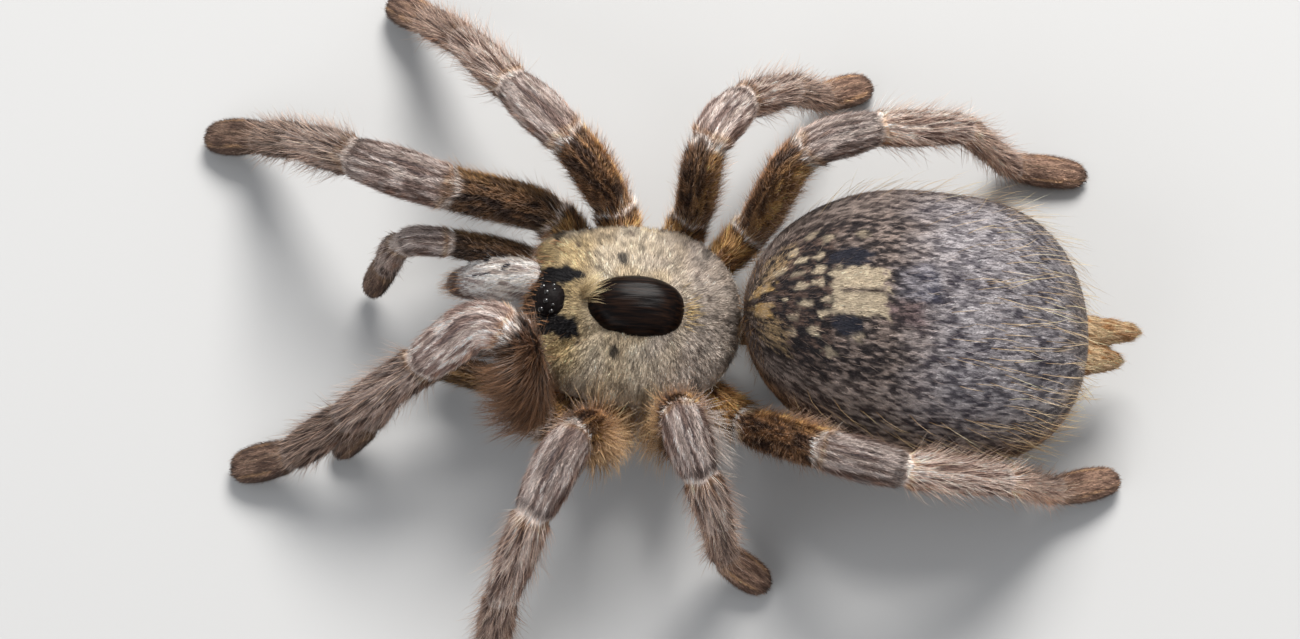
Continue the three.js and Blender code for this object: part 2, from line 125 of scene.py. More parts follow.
STANCES = {  # headings, and pitches beyond the coxa; the pitch that lands the foot is worked out
    ("left", "palp"): ((34, -8, 26, 44, 36), (22, -15, -34)),
    ("left", "1"): ((63, -86, 30, 27, 23, 8), (72, -32, -34, -23)),
    ("left", "2"): ((79, 53, 66, 66, 68, 69), (80, -12, -41, -15)),
    ("left", "3"): ((112, 105, 106, 126, 136, 153), (93, 8, -71, -25)),
    ("left", "4"): ((138, 141, 165, 185, 202, 200), (51, 8, -26, -20)),
    ("right", "palp"): ((38, -3, 1, -22, -31), (32, 4, -64)),
    ("right", "1"): ((65, -5, 11, 37, 32, 9), (38, 17, -47, -24)),
    ("right", "2"): ((87, 34, 48, 50, 49, 41), (66, -19, -25, -34)),
    ("right", "3"): ((119, 107, 122, 145, 146, 155), (74, -27, -36, -17)),
    ("right", "4"): ((135, 141, 155, 164, 176, 184), (71, -22, -30, -4)),
}
EYES = {  # x, y and radius on the left half of the tubercle
    "front_middle": (0.42, -8.0, 0.3),
    "front_side": (1.1, -8.4, 0.32),
    "rear_side": (1.26, -7.45, 0.26),
    "rear_middle": (0.74, -7.35, 0.2),
}
EYE_SINK = 0.35  # in radii

LIMB_RADIUS = 2.1  # of an even tube that limbs are unrolled from
ABDOMEN_RADIUS = 11.8
CARAPACE_RADIUS = 6.5
SMALL_RADIUS = 2.4  # of jaws, spinnerets and the trunk
LOCK_WIDTH = 0.2
COMBED_LEG = ("left", "1")  # the leg whose femur's hair falls forward and out
COMBED_LIE = np.array([0.35, -0.9, -0.25])
LOCK_STRETCH = 0.28  # a lock is as many times longer than wide as 1 is to this
ROOT_DEPTH = 0.06  # of a hair's root in the skin
VOXEL = 0.27  # of the skin's mesh
OUTSIDE = 0.02  # share of each side of the CAD box that the coat may stand proud

# ---- Small helpers -----------------------------------------------------------------------------

rng = np.random.default_rng(11)


def srgb(red, green, blue):
    """A linear colour from 0-255 screen values."""
    value = np.array([red, green, blue]) / 255
    return np.where(value < 0.04045, value / 12.92, ((value + 0.055) / 1.055) ** 2.4)


def ramp(x, low, high):
    t = np.clip((x - low) / (high - low), 0, 1)
    return t * t * (3 - 2 * t)


def bump(x, middle, reach):
    """1 at middle, falling smoothly to nearly 0 at reach from it."""
    return np.exp(-3 * ((x - middle) / reach) ** 2)


def mix(a, b, t):
    t = np.asarray(t)[..., None]
    return a * (1 - t) + b * t


def painted(base, light, *layers):
    """Lays colours over base in turn: a weight, a dark colour and, where light is 1, a pale one."""
    for weight, dark, *pale in layers:
        layer = mix(srgb(*dark), srgb(*pale[0]), light) if pale else srgb(*dark)
        base = mix(base, layer, weight)
    return base


def xyz(x, y, z):
    """Points from three coordinates, each an array or one value for all."""
    return np.stack(np.broadcast_arrays(x, y, z), -1)


def unit(v):
    return v / np.maximum(np.linalg.norm(v, axis=-1, keepdims=True), 1e-9)


def swung(points, degrees=FOREBODY_TURN):
    """Places on the forebody after it has swung about the animal's upright axis."""
    turn = np.radians(degrees)
    x, y = points[..., 0], points[..., 1]
    return xyz(x * np.cos(turn) + y * np.sin(turn), y * np.cos(turn) - x * np.sin(turn), points[..., 2])


LATTICE = rng.random((32, 32, 32)).astype(np.float32)


def noise(points, spacing, layer=0):
    """Smooth noise from 0 to 1 whose lattice points are spacing apart."""
    q = np.asarray(points) / spacing + 7.3 * layer
    cell = np.floor(q).astype(int)
    f = q - cell
    f = f * f * (3 - 2 * f)
    total = 0.0
    for corner in np.ndindex(2, 2, 2):
        weight = np.prod(np.where(corner, f, 1 - f), axis=-1)
        x, y, z = ((cell + corner) % 32).T
        total = total + weight * LATTICE[x, y, z]
    return total


def speckle(points, spacing, layer=0):
    """Distance to the nearest of many scattered points, in units of their spacing."""
    q = np.asarray(points) / spacing + 3.7 * layer
    cell = np.floor(q).astype(int)
    nearest = np.full(len(q), 9.0)
    for step in np.ndindex(3, 3, 3):
        x, y, z = ((cell + step - 1) % 32).T
        jitter = np.stack([LATTICE[x, y, z], LATTICE[y, z, x], LATTICE[z, x, y]], -1)
        gap = np.linalg.norm(cell + step - 1 + jitter - q, axis=-1)
        nearest = np.minimum(nearest, gap)
    return nearest


# ---- Limb centre lines -------------------------------------------------------------------------


def walk(root, side, lengths, headings, pitches, starts):
    """A limb's centre line: straight segments joined by even bends."""
    ends = np.cumsum(lengths)
    count = round(ends[-1] / PATH_STEP)
    step = ends[-1] / count
    s = (np.arange(count) + 0.5) * step
    heading = np.full(count, float(headings[0]))
    pitch = np.full(count, float(pitches[0]))
    for i, joint in enumerate(ends[:-1]):
        turn_h = headings[i + 1] - headings[i]
        turn_p = pitches[i + 1] - pitches[i]
        level = np.cos(np.radians((pitches[i] + pitches[i + 1]) / 2))
        turn = np.radians(np.hypot(turn_p, turn_h * level))
        room = 0.9 * min(lengths[i], lengths[i + 1])
        length = max(SHORTEST_BEND, min(BEND * turn * starts[i + 1][1], room))
        share = np.clip((s - joint) / length + 0.5, 0, 1)
        heading += turn_h * share
        pitch += turn_p * share
    h = np.radians(heading)
    p = np.radians(pitch)
    level = np.stack([side * np.sin(h), -np.cos(h), np.zeros(count)], -1)
    up = np.array([0.0, 0.0, 1.0])
    along = level * np.cos(p)[:, None] + up * np.sin(p)[:, None]
    forward = np.cross(level, up) * side
    dorsal = np.cross(np.cross(level, up), along)
    points = np.vstack([root, root + np.cumsum(along * step, axis=0)])
    return SimpleNamespace(points=points, along=along, forward=forward, dorsal=dorsal, step=step)


def make_limb(side_name, key):
    side = 1 if side_name == "left" else -1
    root = np.array(SOCKETS[key]) * (side, 1, 1)
    headings, pitches = STANCES[side_name, key]
    lengths = LEG_LENGTHS[key]
    palp = key == "palp"
    starts = PALP_STARTS if palp else LEG_STARTS
    low, high = -89.0, 20.0
    while high - low > 0.01:
        landing = (low + high) / 2
        trial = (COXA_PITCH, *pitches[:-1], landing, pitches[-1])
        line = walk(root, side, lengths, headings, trial, starts)
        if line.points[-1, 2] < TIP_HEIGHT:
            low = landing
        else:
            high = landing
    line.palp = palp
    line.combed = (side_name, key) == COMBED_LEG
    line.lengths = np.array(lengths)
    line.ends = np.concatenate([[0], np.cumsum(lengths)])
    line.total = line.ends[-1]
    line.starts = np.array(starts)
    line.middles = np.array(PALP_MIDDLES if palp else LEG_MIDDLES)
    line.segments = PALP_SEGMENTS if palp else LEG_SEGMENTS
    line.thickness = PAIR_THICKNESS[key]
    line.pads = METATARSUS_PADS[key]
    line.tone = np.array(PAIR_TONE[key])
    return line


LEG_SEGMENTS = ("coxa", "femur", "patella", "tibia", "metatarsus", "tarsus")
PALP_SEGMENTS = ("coxa", "femur", "patella", "tibia", "tarsus")
# The left palp and legs are limbs 0 to 4, the right ones 5 to 9.
LIMBS = [make_limb(side, key) for side in ("left", "right") for key in ("palp", "1", "2", "3", "4")]
LEGS = (1, 2, 3, 4, 6, 7, 8, 9)


def segment_at(limb, s):
    """The segment that s lies in, and how far along that segment, 0 to 1."""
    i = np.clip(np.searchsorted(limb.ends, s, side="right") - 1, 0, len(limb.lengths) - 1)
    return i, np.clip((s - limb.ends[i]) / limb.lengths[i], 0, 1)


def step_at(limb, s):
    """Which short step of a limb's centre line s lies in."""
    return np.clip((s / limb.step).astype(int), 0, len(limb.along) - 1)


def girth_at(limb, s):
    """Width and depth of a limb, to the tips of its coat."""
    i, t = segment_at(limb, s)
    start, end = limb.starts[i], limb.starts[i + 1]
    straight = start + (end - start) * t[:, None]
    swell = limb.middles[i] - (start + end) / 2
    swell[:, 0] += np.where(i == METATARSUS, limb.pads, 0)
    toe = np.clip((s - (limb.total - TOE_LENGTH)) / TOE_LENGTH, 0, 1)
    rounding = 1 - 0.55 * toe**3
    return (straight + swell * np.sin(np.pi * t)[:, None]) * (limb.thickness * rounding)[:, None]


# ---- Shapes of the skin ------------------------------------------------------------------------

ABDOMEN_PART, TRUNK_PART, PEDICEL_PART, JAW_PART, SPINNERET_PART, LIMB_PART, CARAPACE_PART = range(7)
BODY_PARTS = (ABDOMEN_PART, TRUNK_PART, PEDICEL_PART, JAW_PART, SPINNERET_PART, CARAPACE_PART)


def on_limbs(spots):
    """Each limb's number, the limb, and which of the spots are on it."""
    for index, limb in enumerate(LIMBS):
        yield index, limb, np.flatnonzero((spots.part == LIMB_PART) & (spots.limb == index))


def loft(rings):
    """A closed surface through rings of points, capped at the first and last ring."""
    count, sides = rings.shape[:2]
    vertices = np.vstack([rings.reshape(-1, 3), rings[0].mean(0), rings[-1].mean(0)])
    a = np.arange(count * sides).reshape(count, sides)
    b = np.roll(a, -1, axis=1)
    faces = np.stack([a[:-1], b[:-1], b[1:], a[1:]], -1).reshape(-1, 4).tolist()
    first, last = count * sides, count * sides + 1
    faces += [(first, b[0, i], a[0, i]) for i in range(sides)]
    faces += [(last, a[-1, i], b[-1, i]) for i in range(sides)]
    return vertices, faces


def lofts(shapes):
    """Several closed surfaces as one list of vertices and one of faces."""
    vertices, faces, shift = [], [], 0
    for rings in shapes:
        points, quads = loft(rings)
        vertices.append(points)
        faces += [tuple(i + shift for i in face) for face in quads]
        shift += len(points)
    return np.vstack(vertices), faces


def ring_angles(sides):
    """How far across and how far up each corner of a round ring lies."""
    turn = np.arange(sides) * 2 * np.pi / sides
    return np.sin(turn), np.cos(turn)


def abdomen_middle(t):
    """The abdomen's middle line, for t from -1 in front to 1 behind."""
    back = np.clip((t + 1) / 2, 0, None)
    height = ABDOMEN["floor_gap"] + ABDOMEN["height"] / 2 - 0.6 * back
    return xyz(ABDOMEN_BEND * back**1.4, ABDOMEN["front"] + ABDOMEN["length"] * back, height)


def abdomen_fullness(t):
    bluntness = 2 + 1.3 * ramp(t, -0.2, 0.5)
    return np.sqrt(np.clip(1 - np.abs(t) ** bluntness, 0, None))


def abdomen_rings(inset):
    t = -np.cos(np.linspace(0.03, np.pi - 0.03, 70))
    across, up = ring_angles(84)
    middle = abdomen_middle(t * (1 - 2 * inset / ABDOMEN["length"]))[:, None]
    full = abdomen_fullness(t)[:, None]
    x = full * (ABDOMEN["width"] / 2 - inset) * across
    return middle + xyz(x, 0, full * (ABDOMEN["height"] / 2 - inset) * up)


def carapace_half_width(t):
    bluntness = np.where(t < 0, 13, 3)
    outline = np.clip(1 - np.abs(t) ** bluntness, 0, None) ** (1 / 2.2)
    head = HEAD_NARROWING * ramp(-t, 0.05, 0.9)
    rear = 0.08 * ramp(t, 0.3, 1)
    return CARAPACE["width"] / 2 * outline * (1 - head - rear)


def carapace_crown(t):
    slope = 1 - 0.4 * ramp(t, 0.15, 1)
    bluntness = np.where(t < 0, 5, 7)
    return CARAPACE["crown"] * slope * np.sqrt(np.clip(1 - np.abs(t) ** bluntness, 0, None))


def carapace_relief(x, y):
    """How deep the carapace is pressed in: grooves round the head part, and rays to each leg."""
    head_edge = 6.4 - 0.62 * (y + 9)
    groove = bump(np.abs(x), head_edge, 1.1) * ramp(y, -9.5, -7) * (1 - ramp(y, -0.5, 1.5))
    depth = 0.42 * groove
    r = np.hypot(x, y - HORN["y"])
    angle = np.degrees(np.arctan2(np.abs(x), -(y - HORN["y"])))
    for ray in (78, 106, 134, 160):
        depth += 0.26 * bump(angle, ray, 9) * ramp(r, 3.6, 5) * (1 - ramp(r, 7.6, 9.4))
    return depth


def carapace_rings(inset):
    y = -np.cos(np.linspace(0.02, np.pi - 0.02, 110))
    t = (np.sign(y) * np.abs(y) ** 0.9)[:, None]
    across, up = ring_angles(150)
    x = np.clip(carapace_half_width(t) - inset, 0.05, None) * across
    arch = np.clip(up, 0, None) ** 0.6 * np.clip(carapace_crown(t) - inset, 0.05, None)
    rise = np.where(up > 0, arch, up * CARAPACE["underside"])
    place = CARAPACE["y"] + t * (CARAPACE["length"] / 2 - inset)
    lip = 0.3 * ramp(np.abs(across), 0.93, 1.0) * ramp(up, -0.3, 0.1)
    z = CARAPACE["rim"] + rise - np.where(up > 0.15, carapace_relief(x, place), 0) + lip * 0.4
    return swung(xyz(x, place, z))


def trunk_rings(inset):
    t = -np.cos(np.linspace(0.05, np.pi - 0.05, 30))[:, None]
    across, up = ring_angles(40)
    round_off = np.sqrt(1 - t**2)
    x = round_off * across
    z = np.clip(round_off * up * 1.5, -1, 1)
    squareness = 1 + 0.12 * np.abs(np.sin(2 * np.arctan2(x, t)))
    place = TRUNK["y"] + t * (TRUNK["length"] / 2 - inset)
    width = TRUNK["width"] / 2 - inset
    return xyz(x * squareness * width, place, TRUNK["middle"] + z * (TRUNK["height"] / 2 - inset))


def chelicera_rings(side, inset):
    y = -np.cos(np.linspace(0.08, np.pi - 0.08, 34))[::-1, None]
    forward = (1 - y) / 2
    across, up = ring_angles(30)
    swell = np.sqrt(1 - y**2) ** 0.65 * (1 - 0.2 * forward)
    x = side * CHELICERA["x"] + across * (CHELICERA["width"] / 2 - inset) * swell
    place = CHELICERA["y"] + 2.2 - (CHELICERA["length"] - inset) * forward
    z = CHELICERA["z"] - 3.0 * forward**2 + up * (CHELICERA["height"] / 2 - inset) * swell
    return swung(xyz(x, place, z))


def heading_vector(heading, pitch):
    h, p = np.radians(heading), np.radians(pitch)
    return xyz(np.sin(h) * np.cos(p), -np.cos(h) * np.cos(p), np.sin(p))


def spinneret_rings(name, inset):
    x, heading, pitch, length = SPINNERETS[name]
    along = heading_vector(heading, pitch)
    lateral = unit(np.array([along[1], -along[0], 0.0]))
    dorsal = np.cross(lateral, along)
    out = np.linspace(-0.25, 1, 26)[:, None]
    across, up = ring_angles(20)
    rounding = np.sqrt(1 - np.clip((out - 0.8) / 0.22, 0, 1) ** 2)
    segments = 1 - 0.1 * bump(out, 0.42, 0.05) - 0.1 * bump(out, 0.72, 0.05)
    radius = (SPINNERET["base"] + (SPINNERET["tip"] - SPINNERET["base"]) * np.clip(out, 0, 1)) / 2
    radius = np.clip(radius * rounding * segments - inset, 0.08, None)
    root = np.array([x, SPINNERET["y"], SPINNERET["z"]])
    line = root + along * (length - inset) * out
    circle = lateral * across[:, None] + dorsal * up[:, None]
    return line[:, None] + circle[None] * radius[..., None]


def pedicel_rings(inset):
    out = np.linspace(-0.5, 0.5, 9)[:, None]
    across, up = ring_angles(20)
    radius = PEDICEL["radius"] - inset
    return xyz(radius * across, PEDICEL["y"] + PEDICEL["length"] * out, PEDICEL["z"] + radius * up)


def limb_joint_relief(limb, s):
    """Swell of the collar beyond each knee, and the pinch at each joint, in millimetres."""
    relief = np.zeros_like(s)
    for joint in limb.ends[2:-1]:
        relief -= 0.24 * bump(s, joint, 0.55)
        relief += 0.13 * bump(s, joint + 0.65, 0.5) + 0.06 * bump(s, joint - 0.65, 0.5)
    return relief


def limb_rings(limb):
    s = np.arange(0.0, limb.total, RING_STEP)
    depth = np.array(PALP_SKIN_DEPTH if limb.palp else LEG_SKIN_DEPTH)[segment_at(limb, s)[0]]
    girth = girth_at(limb, s) / 2 - depth[:, None]
    girth += limb_joint_relief(limb, s)[:, None]
    toe = np.clip((s - (limb.total - TOE_LENGTH)) / TOE_LENGTH, 0, 1)
    girth = np.clip(girth * np.sqrt(1 - 0.9 * toe**4)[:, None], 0.2, None)
    across, up = ring_angles(26)
    i = step_at(limb, s)
    middle = limb.points[i] + limb.along[i] * (s - i * limb.step)[:, None]
    rings = middle[:, None] + limb.forward[i][:, None] * (across * girth[:, :1])[..., None]
    rings += limb.dorsal[i][:, None] * (up * girth[:, 1:])[..., None]
    rings[..., 2] = np.clip(rings[..., 2], LOWEST_POINT, None)
    return rings


# ---- Making meshes -----------------------------------------------------------------------------


def to_frame(points):
    return ((points + ORIGIN) * MM).astype(np.float32)


def link_object(name, data):
    piece = bpy.data.objects.new(name, data)
    bpy.context.scene.collection.objects.link(piece)
    return piece


def add_object(name, mesh, material, slot):
    piece = link_object(name, mesh)
    mesh.materials.append(material)
    mesh.shade_smooth()
    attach(piece, "root")
    return piece


def add_solid(name, rings, material, slot, node):
    """A hard piece through rings of points, which takes the place of one node."""
    piece = add_object(name, polygon_mesh(name, *loft(rings)), material, slot)
    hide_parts(node)


def polygon_mesh(name, vertices, faces):
    mesh = bpy.data.meshes.new(name)
    mesh.from_pydata(to_frame(vertices).tolist(), [], faces)
    mesh.validate()
    return mesh


def triangle_mesh(name, vertices, triangles):
    """A mesh from arrays, which is far faster than lists where there are a million faces."""
    mesh = bpy.data.meshes.new(name)
    mesh.vertices.add(len(vertices))
    mesh.vertices.foreach_set("co", to_frame(vertices).ravel())
    mesh.loops.add(triangles.size)
    mesh.loops.foreach_set("vertex_index", triangles.ravel().astype(np.int32))
    mesh.polygons.add(len(triangles))
    mesh.polygons.foreach_set("loop_start", np.arange(0, triangles.size, 3, dtype=np.int32))
    mesh.update(calc_edges=True)
    return mesh


def add_colours(mesh, name, colours):
    layer = mesh.color_attributes.new(name, "FLOAT_COLOR", "POINT")
    rgba = np.ones((len(colours), 4), np.float32)
    rgba[:, :3] = np.clip(colours, 0, 1)
    layer.data.foreach_set("color", rgba.ravel())


# ---- The skin ----------------------------------------------------------------------------------


def skin_sources():
    """Every fleshy form's rings, with its part and which limb, jaw or spinneret it is."""
    forms = [
        (abdomen_rings(SKIN_DEPTH["abdomen"]), ABDOMEN_PART, -1),
        (trunk_rings(SKIN_DEPTH["trunk"]), TRUNK_PART, -1),
        (pedicel_rings(SKIN_DEPTH["pedicel"]), PEDICEL_PART, -1),
    ]
    for index, (side, _) in enumerate(SIDES):
        forms.append((chelicera_rings(side, SKIN_DEPTH["jaw"]), JAW_PART, index))
    for index, (_, name) in enumerate(SIDES):
        forms.append((spinneret_rings(name, SKIN_DEPTH["spinneret"]), SPINNERET_PART, index))
    forms += [(limb_rings(limb), LIMB_PART, i) for i, limb in enumerate(LIMBS)]
    return forms


def make_skin_mesh(forms):
    """One even mesh over all the forms together."""
    vertices, faces = lofts([rings for rings, _, _ in forms])
    mesh = bpy.data.meshes.new("skin_source")
    mesh.from_pydata(vertices.tolist(), [], faces)
    piece = link_object("skin_source", mesh)
    remesh = piece.modifiers.new("remesh", "REMESH")
    remesh.mode = "VOXEL"
    remesh.voxel_size = VOXEL
    smooth = piece.modifiers.new("smooth", "SMOOTH")
    smooth.factor = 0.5
    smooth.iterations = 4
    evaluated = piece.evaluated_get(bpy.context.evaluated_depsgraph_get())
    result = bpy.data.meshes.new_from_object(evaluated)
    bpy.data.objects.remove(piece)
    bpy.data.meshes.remove(mesh)
    return result


def read_threes(collection, name, kind):
    values = np.empty(len(collection) * 3, kind)
    collection.foreach_get(name, values)
    return values.reshape(-1, 3)


def mesh_arrays(mesh):
    """A mesh's vertices, their normals and its triangles."""
    mesh.calc_loop_triangles()
    points = read_threes(mesh.vertices, "co", np.float32).astype(float)
    normals = read_threes(mesh.vertex_normals, "vector", np.float32).astype(float)
    return points, normals, read_threes(mesh.loop_triangles, "vertices", np.int32)


def locate(points, normals, part, limb, s):
    """Places on the body: which part, and how far along it and round it from its upper side."""
    count = len(points)
    spots = SimpleNamespace(p=points, n=normals, part=part, limb=limb, s=s.copy())
    swings = np.isin(part, (CARAPACE_PART, JAW_PART))
    # The same places before the forebody swung round.
    spots.q = np.where(swings[:, None], swung(points, -FOREBODY_TURN), points)
    spots.turn, spots.across, spots.along = np.zeros((3, count))
    spots.lie, spots.aside = np.zeros((2, count, 3))
    locate_limbs(spots)
    locate_abdomen(spots)
    locate_carapace(spots)
    locate_rest(spots)
    spots.lie = laid_flat(spots)
    return spots


def laid_flat(spots):
    """The lie of the coat, turned to run along the skin."""
    return unit(spots.lie - (spots.lie * spots.n).sum(1)[:, None] * spots.n)


def locate_limbs(spots):
    for _, limb, mine in on_limbs(spots):
        at = spots.s[mine]
        for _ in range(2):
            i = step_at(limb, at)
            beyond = ((spots.p[mine] - limb.points[i]) * limb.along[i]).sum(1)
            at = np.clip(i * limb.step + beyond, 0, limb.total)
        i = step_at(limb, at)
        offset = spots.p[mine] - limb.points[i]
        turn = np.arctan2((offset * limb.forward[i]).sum(1), (offset * limb.dorsal[i]).sum(1))
        spots.s[mine] = spots.along[mine] = at
        spots.turn[mine] = turn
        spots.across[mine] = turn * LIMB_RADIUS
        spots.lie[mine] = limb.along[i]
        if limb.combed:
            femur_start, femur_end = limb.ends[FEMUR:PATELLA + 1]
            femur = ramp(at, femur_start - 1, femur_start + 1) * (1 - ramp(at, femur_end - 2, femur_end))
            spots.lie[mine] = unit(mix(limb.along[i], COMBED_LIE, 0.85 * femur))
        cosine, sine = np.cos(turn)[:, None], np.sin(turn)[:, None]
        spots.aside[mine] = limb.forward[i] * cosine - limb.dorsal[i] * sine


def round_a_line(spots, mine, turn, radius):
    """Places unrolled round a line that runs from front to back."""
    spots.turn[mine] = turn
    spots.across[mine] = turn * radius
    spots.along[mine] = spots.q[mine, 1]
    spots.aside[mine] = xyz(np.cos(turn), 0, -np.sin(turn))


def locate_abdomen(spots):
    mine = np.flatnonzero(spots.part == ABDOMEN_PART)
    p = spots.p[mine]
    t = (p[:, 1] - ABDOMEN["front"]) / ABDOMEN["length"] * 2 - 1
    offset = p - abdomen_middle(np.clip(t, -1, 1))
    turn = np.arctan2(offset[:, 0], offset[:, 2])
    round_a_line(spots, mine, turn, ABDOMEN_RADIUS)
    spots.s[mine] = p[:, 1] - ABDOMEN["front"]
    down = np.abs(np.sin(turn)) * (0.3 + 0.35 * ramp(t, 0, 1))
    aside = 0.25 * np.sin(turn) * ramp(-t, -0.3, 0.8)
    spots.lie[mine] = mix(xyz(aside, 1, -down), np.array([0, 0.5, -1.0]), ramp(t, 0.8, 1.0))


def locate_carapace(spots):
    mine = np.flatnonzero(spots.part == CARAPACE_PART)
    q = spots.q[mine]
    x, y = q[:, 0], q[:, 1]
    behind_horn = y - HORN["y"]
    # Hair radiates from the line of the horn's middle, not from one point.
    spine = np.clip(y, HORN["y"] - 2.6, HORN["y"] + 2.4)
    face = ramp(-y, 5.5, 8.5)
    lie = unit(mix(unit(xyz(x, y - spine, 0)), unit(xyz(-0.25 * x, -1, 0)), 0.55 * face))
    spots.lie[mine] = swung(lie)
    spots.turn[mine] = np.arctan2(x, -behind_horn)
    spots.across[mine] = spots.turn[mine] * CARAPACE_RADIUS
    spots.along[mine] = np.hypot(x, behind_horn)
    spots.aside[mine] = np.cross(spots.n[mine], spots.lie[mine])
    spots.s[mine] = y


def locate_rest(spots):
    centred = np.zeros(len(spots.p))
    jaw_x = np.where(spots.limb == 0, 1, -1) * CHELICERA["x"]
    spinneret_x = np.where(spots.limb == 0, SPINNERETS["left"][0], SPINNERETS["right"][0])
    for part, middle, height, lie in (
        (TRUNK_PART, centred, 5.0, (0, 1, 0)),
        (PEDICEL_PART, centred, 6.0, (0, 1, 0)),
        (JAW_PART, jaw_x, 8.0, (-0.055, -1, -0.5)),
        (SPINNERET_PART, spinneret_x, 7.0, (0.06, 1, -0.15)),
    ):
        mine = np.flatnonzero(spots.part == part)
        q = spots.q[mine]
        round_a_line(spots, mine, np.arctan2(q[:, 0] - middle[mine], q[:, 2] - height), SMALL_RADIUS)
        spots.s[mine] = q[:, 1]
        spots.lie[mine] = lie


def nearest_source(points, forms):
    """Part, limb and distance along the limb of the nearest point of the forms."""
    kinds = []
    for rings, part, limb in forms:
        count, sides = rings.shape[:2]
        s = np.repeat(np.arange(count) * RING_STEP, sides)
        kinds.append(xyz(part, limb, s))
    sources = np.vstack([rings.reshape(-1, 3) for rings, _, _ in forms])
    tree = kdtree.KDTree(len(sources))
    for i, point in enumerate(sources.tolist()):
        tree.insert(point, i)
    tree.balance()
    index = np.array([tree.find(point)[1] for point in points.tolist()])
    part, limb, s = np.vstack(kinds)[index].T
    return part.astype(int), limb.astype(int), s


# ---- Markings ----------------------------------------------------------------------------------

GOLD = srgb(196, 160, 104)
CREAM = srgb(204, 186, 160)
PALE = srgb(222, 206, 196)
DARK = srgb(52, 38, 32)
BLACK = srgb(24, 21, 24)
BLUE_BLACK = srgb(38, 40, 54)

ABDOMEN_MIDDLE = 0.66  # of the markings, round from the abdomen's own middle line
# Cream spots on the black front of the abdomen: distance round from its middle line, y, radius,
# and strength.
ABDOMEN_SPOTS = [
    (-0.3, 15.1, 0.6, 1), (1.5, 13.8, 0.42, 1), (2.3, 15.6, 0.7, 1), (1.8, 17.4, 0.5, 1),
    (3.5, 17.4, 0.6, 1), (-0.6, 16.9, 0.6, 1), (-2.3, 16.8, 0.7, 1), (-4.5, 16.8, 0.65, 1),
    (-4.7, 15.1, 0.7, 1), (-4.0, 13.2, 0.8, 0.9), (-2.5, 14.9, 0.6, 0.5), (4.2, 14.6, 0.6, 0.5),
    (6.0, 16.5, 0.6, 0.9), (6.8, 14.5, 0.6, 0.5), (6.1, 20.4, 0.75, 0.7), (-6.4, 14.4, 0.7, 0.8),
    (-6.9, 17.6, 0.7, 0.7), (8.2, 17.9, 0.7, 0.7), (-6.6, 20.6, 0.7, 0.6), (-8.4, 15.9, 0.7, 0.6),
]

# Black marks on the carapace: x, y, half width, half length and strength.
CARAPACE_MARKS = [
    (-2.5, -7.3, 0.85, 2.5, 1), (2.4, -7.7, 0.95, 2.0, 1), (2.7, -6.0, 1.15, 1.3, 1),
    (7.1, -7.5, 0.9, 0.6, 0.95), (4.6, -1.4, 0.75, 0.45, 0.85), (-4.6, -1.4, 0.75, 0.45, 0.85),
    (-6.9, -7.6, 0.6, 0.6, 0.7), (6.4, 6.2, 0.8, 0.5, 0.55), (-6.4, 6.2, 0.8, 0.5, 0.55),
]

# Dark and pale hair of each segment of a limb.
LIMB_COLOURS = {
    "coxa": (srgb(124, 88, 56), srgb(206, 162, 104)),
    "femur": (srgb(66, 45, 33), srgb(146, 108, 76)),
    "patella": (srgb(128, 106, 98), srgb(222, 204, 196)),
    "tibia": (srgb(100, 78, 70), srgb(214, 190, 178)),
    "metatarsus": (srgb(92, 68, 58), srgb(182, 154, 138)),
    "tarsus": (srgb(96, 72, 60), srgb(148, 118, 100)),
}


def blot(across, along, left, right, front, back, soft=0.35):
    """1 inside a rectangle and 0 outside it."""
    inside = ramp(across, left - soft, left + soft) * (1 - ramp(across, right - soft, right + soft))
    return inside * ramp(along, front - soft, front + soft) * (1 - ramp(along, back - soft, back + soft))


def ragged_oval(x, y, width, length, rough):
    """Distance from an oval's middle, 1 at its edge, with roughness added."""
    return np.hypot(x / width, y / length) + rough


